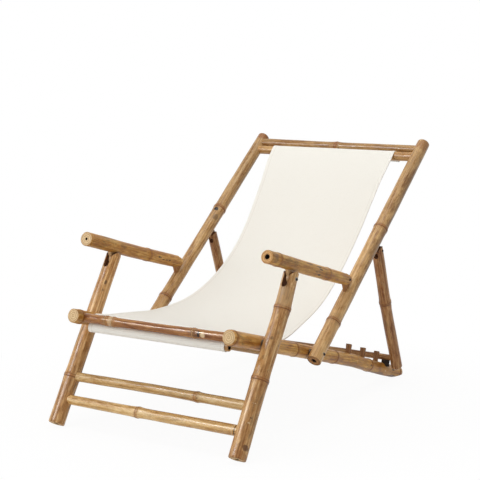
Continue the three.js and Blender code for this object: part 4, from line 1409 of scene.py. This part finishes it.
WHITE = (1, 1, 1, 1)
WORLD_COLOUR = (1.0, 0.985, 0.96, 1)
WORLD_STRENGTH = 0.365
WORLD_CONTRAST = 0.95
WORLD_BRIGHT_SIDE = Vector((-0.6, -0.4, 0.65))
FLOOR_HALF = 30
FLOOR_HEIGHT = -0.0005
FLOOR_TONE = 0.85
FLOOR_WHITE = 0.94
FLOOR_NEAR = 0.45
FLOOR_FAR = 0.95
LAMP_TARGET = Vector((0, 0, 0.35))
LAMP_DISTANCE = 2.9

# Each lamp's place from its target, size, power and colour
LAMPS = {
    "above": (Vector((0.1, -0.2, 2.6)), 2.0, 28, (1.0, 0.99, 0.975)),
    "front_left": (Vector((-0.5, -1.0, 0.28)) * LAMP_DISTANCE, 1.2, 18, (1.0, 0.985, 0.965)),
    "gloss": (Vector((-0.52, -0.84, 0.62)) * LAMP_DISTANCE, 0.8, 80, (1.0, 0.985, 0.965)),
}


def seen_by_eye(graph):
    """One for the rays that show the background, seen straight or in gloss or glass, and else nought."""
    rays = graph.add("ShaderNodeLightPath").outputs
    seen = graph.number("MAXIMUM", rays["Is Camera Ray"], rays["Is Glossy Ray"])
    return graph.number("MAXIMUM", seen, rays["Is Transmission Ray"])


def mix_in_white(graph, amount, lit, white, output):
    """Mixes a lit shader with a plain white one and makes the mix the result."""
    mix = graph.add("ShaderNodeMixShader", [(0, amount), (1, lit.outputs[0]), (2, white.outputs[0])])
    graph.feed(graph.tree.nodes[output].inputs["Surface"], mix.outputs[0])


def add_floor():
    """A floor that is white to the eye, with a soft shadow near the chair, and dull to the light."""
    graph = material_graph("floor")
    seen = seen_by_eye(graph)
    graph.finish(graph.grey(graph.eased(seen, 0.0, 1.0, FLOOR_TONE, 1.0)), 0.9, Specular_IOR_Level=0.0)
    away = graph.vector("LENGTH", graph.add("ShaderNodeNewGeometry").outputs["Position"])
    amount = graph.times(graph.eased(away, FLOOR_NEAR, FLOOR_FAR, FLOOR_WHITE, 1.0), seen)
    glow = graph.add("ShaderNodeEmission", [("Color", WHITE), ("Strength", 1.0)])
    mix_in_white(graph, amount, graph.shader, glow, "Material Output")
    half = FLOOR_HALF
    corners = [(x, y, FLOOR_HEIGHT) for x, y in ((-half, -half), (half, -half), (half, half), (-half, half))]
    made = mesh_object("floor", corners, [(0, 1, 2, 3)], [0], [graph.owner])


def add_world():
    """A sky that is brighter on one side for the object and plain white to the eye."""
    world = bpy.data.worlds.new("world")
    bpy.context.scene.world = world
    graph = Graph(world)
    around = graph.add("ShaderNodeTexCoord").outputs["Generated"]
    toward = graph.vector("DOT_PRODUCT", around, WORLD_BRIGHT_SIDE.normalized())
    level = graph.number("MULTIPLY_ADD", toward, WORLD_STRENGTH * WORLD_CONTRAST, WORLD_STRENGTH)
    dim = graph.tree.nodes["Background"]
    graph.feed(dim.inputs["Color"], WORLD_COLOUR)
    graph.feed(dim.inputs["Strength"], level)
    white = graph.add("ShaderNodeBackground", [("Color", WHITE), ("Strength", 1.0)])
    mix_in_white(graph, seen_by_eye(graph), dim, white, "World Output")


def add_lamps():
    """Soft lamps overhead and at the front left, and one that only draws the highlights."""
    for name, (away, size, power, colour) in LAMPS.items():
        data = bpy.data.lights.new(name, "AREA")
        data.size = size
        data.energy = power
        data.color = colour
        lamp = bpy.data.objects.new(name, data)
        lamp.location = LAMP_TARGET + away
        lamp.rotation_euler = (-away).to_track_quat("-Z", "Y").to_euler()
        lamp.visible_diffuse = name != "gloss"
        bpy.context.scene.collection.objects.link(lamp)


add_camera()
add_world()
add_floor()
add_lamps()
build_poles()
build_pegs()
build_rest_pad()
build_ears()
build_fasteners()
build_sling()

bpy.context.scene.view_settings.view_transform = "Standard"
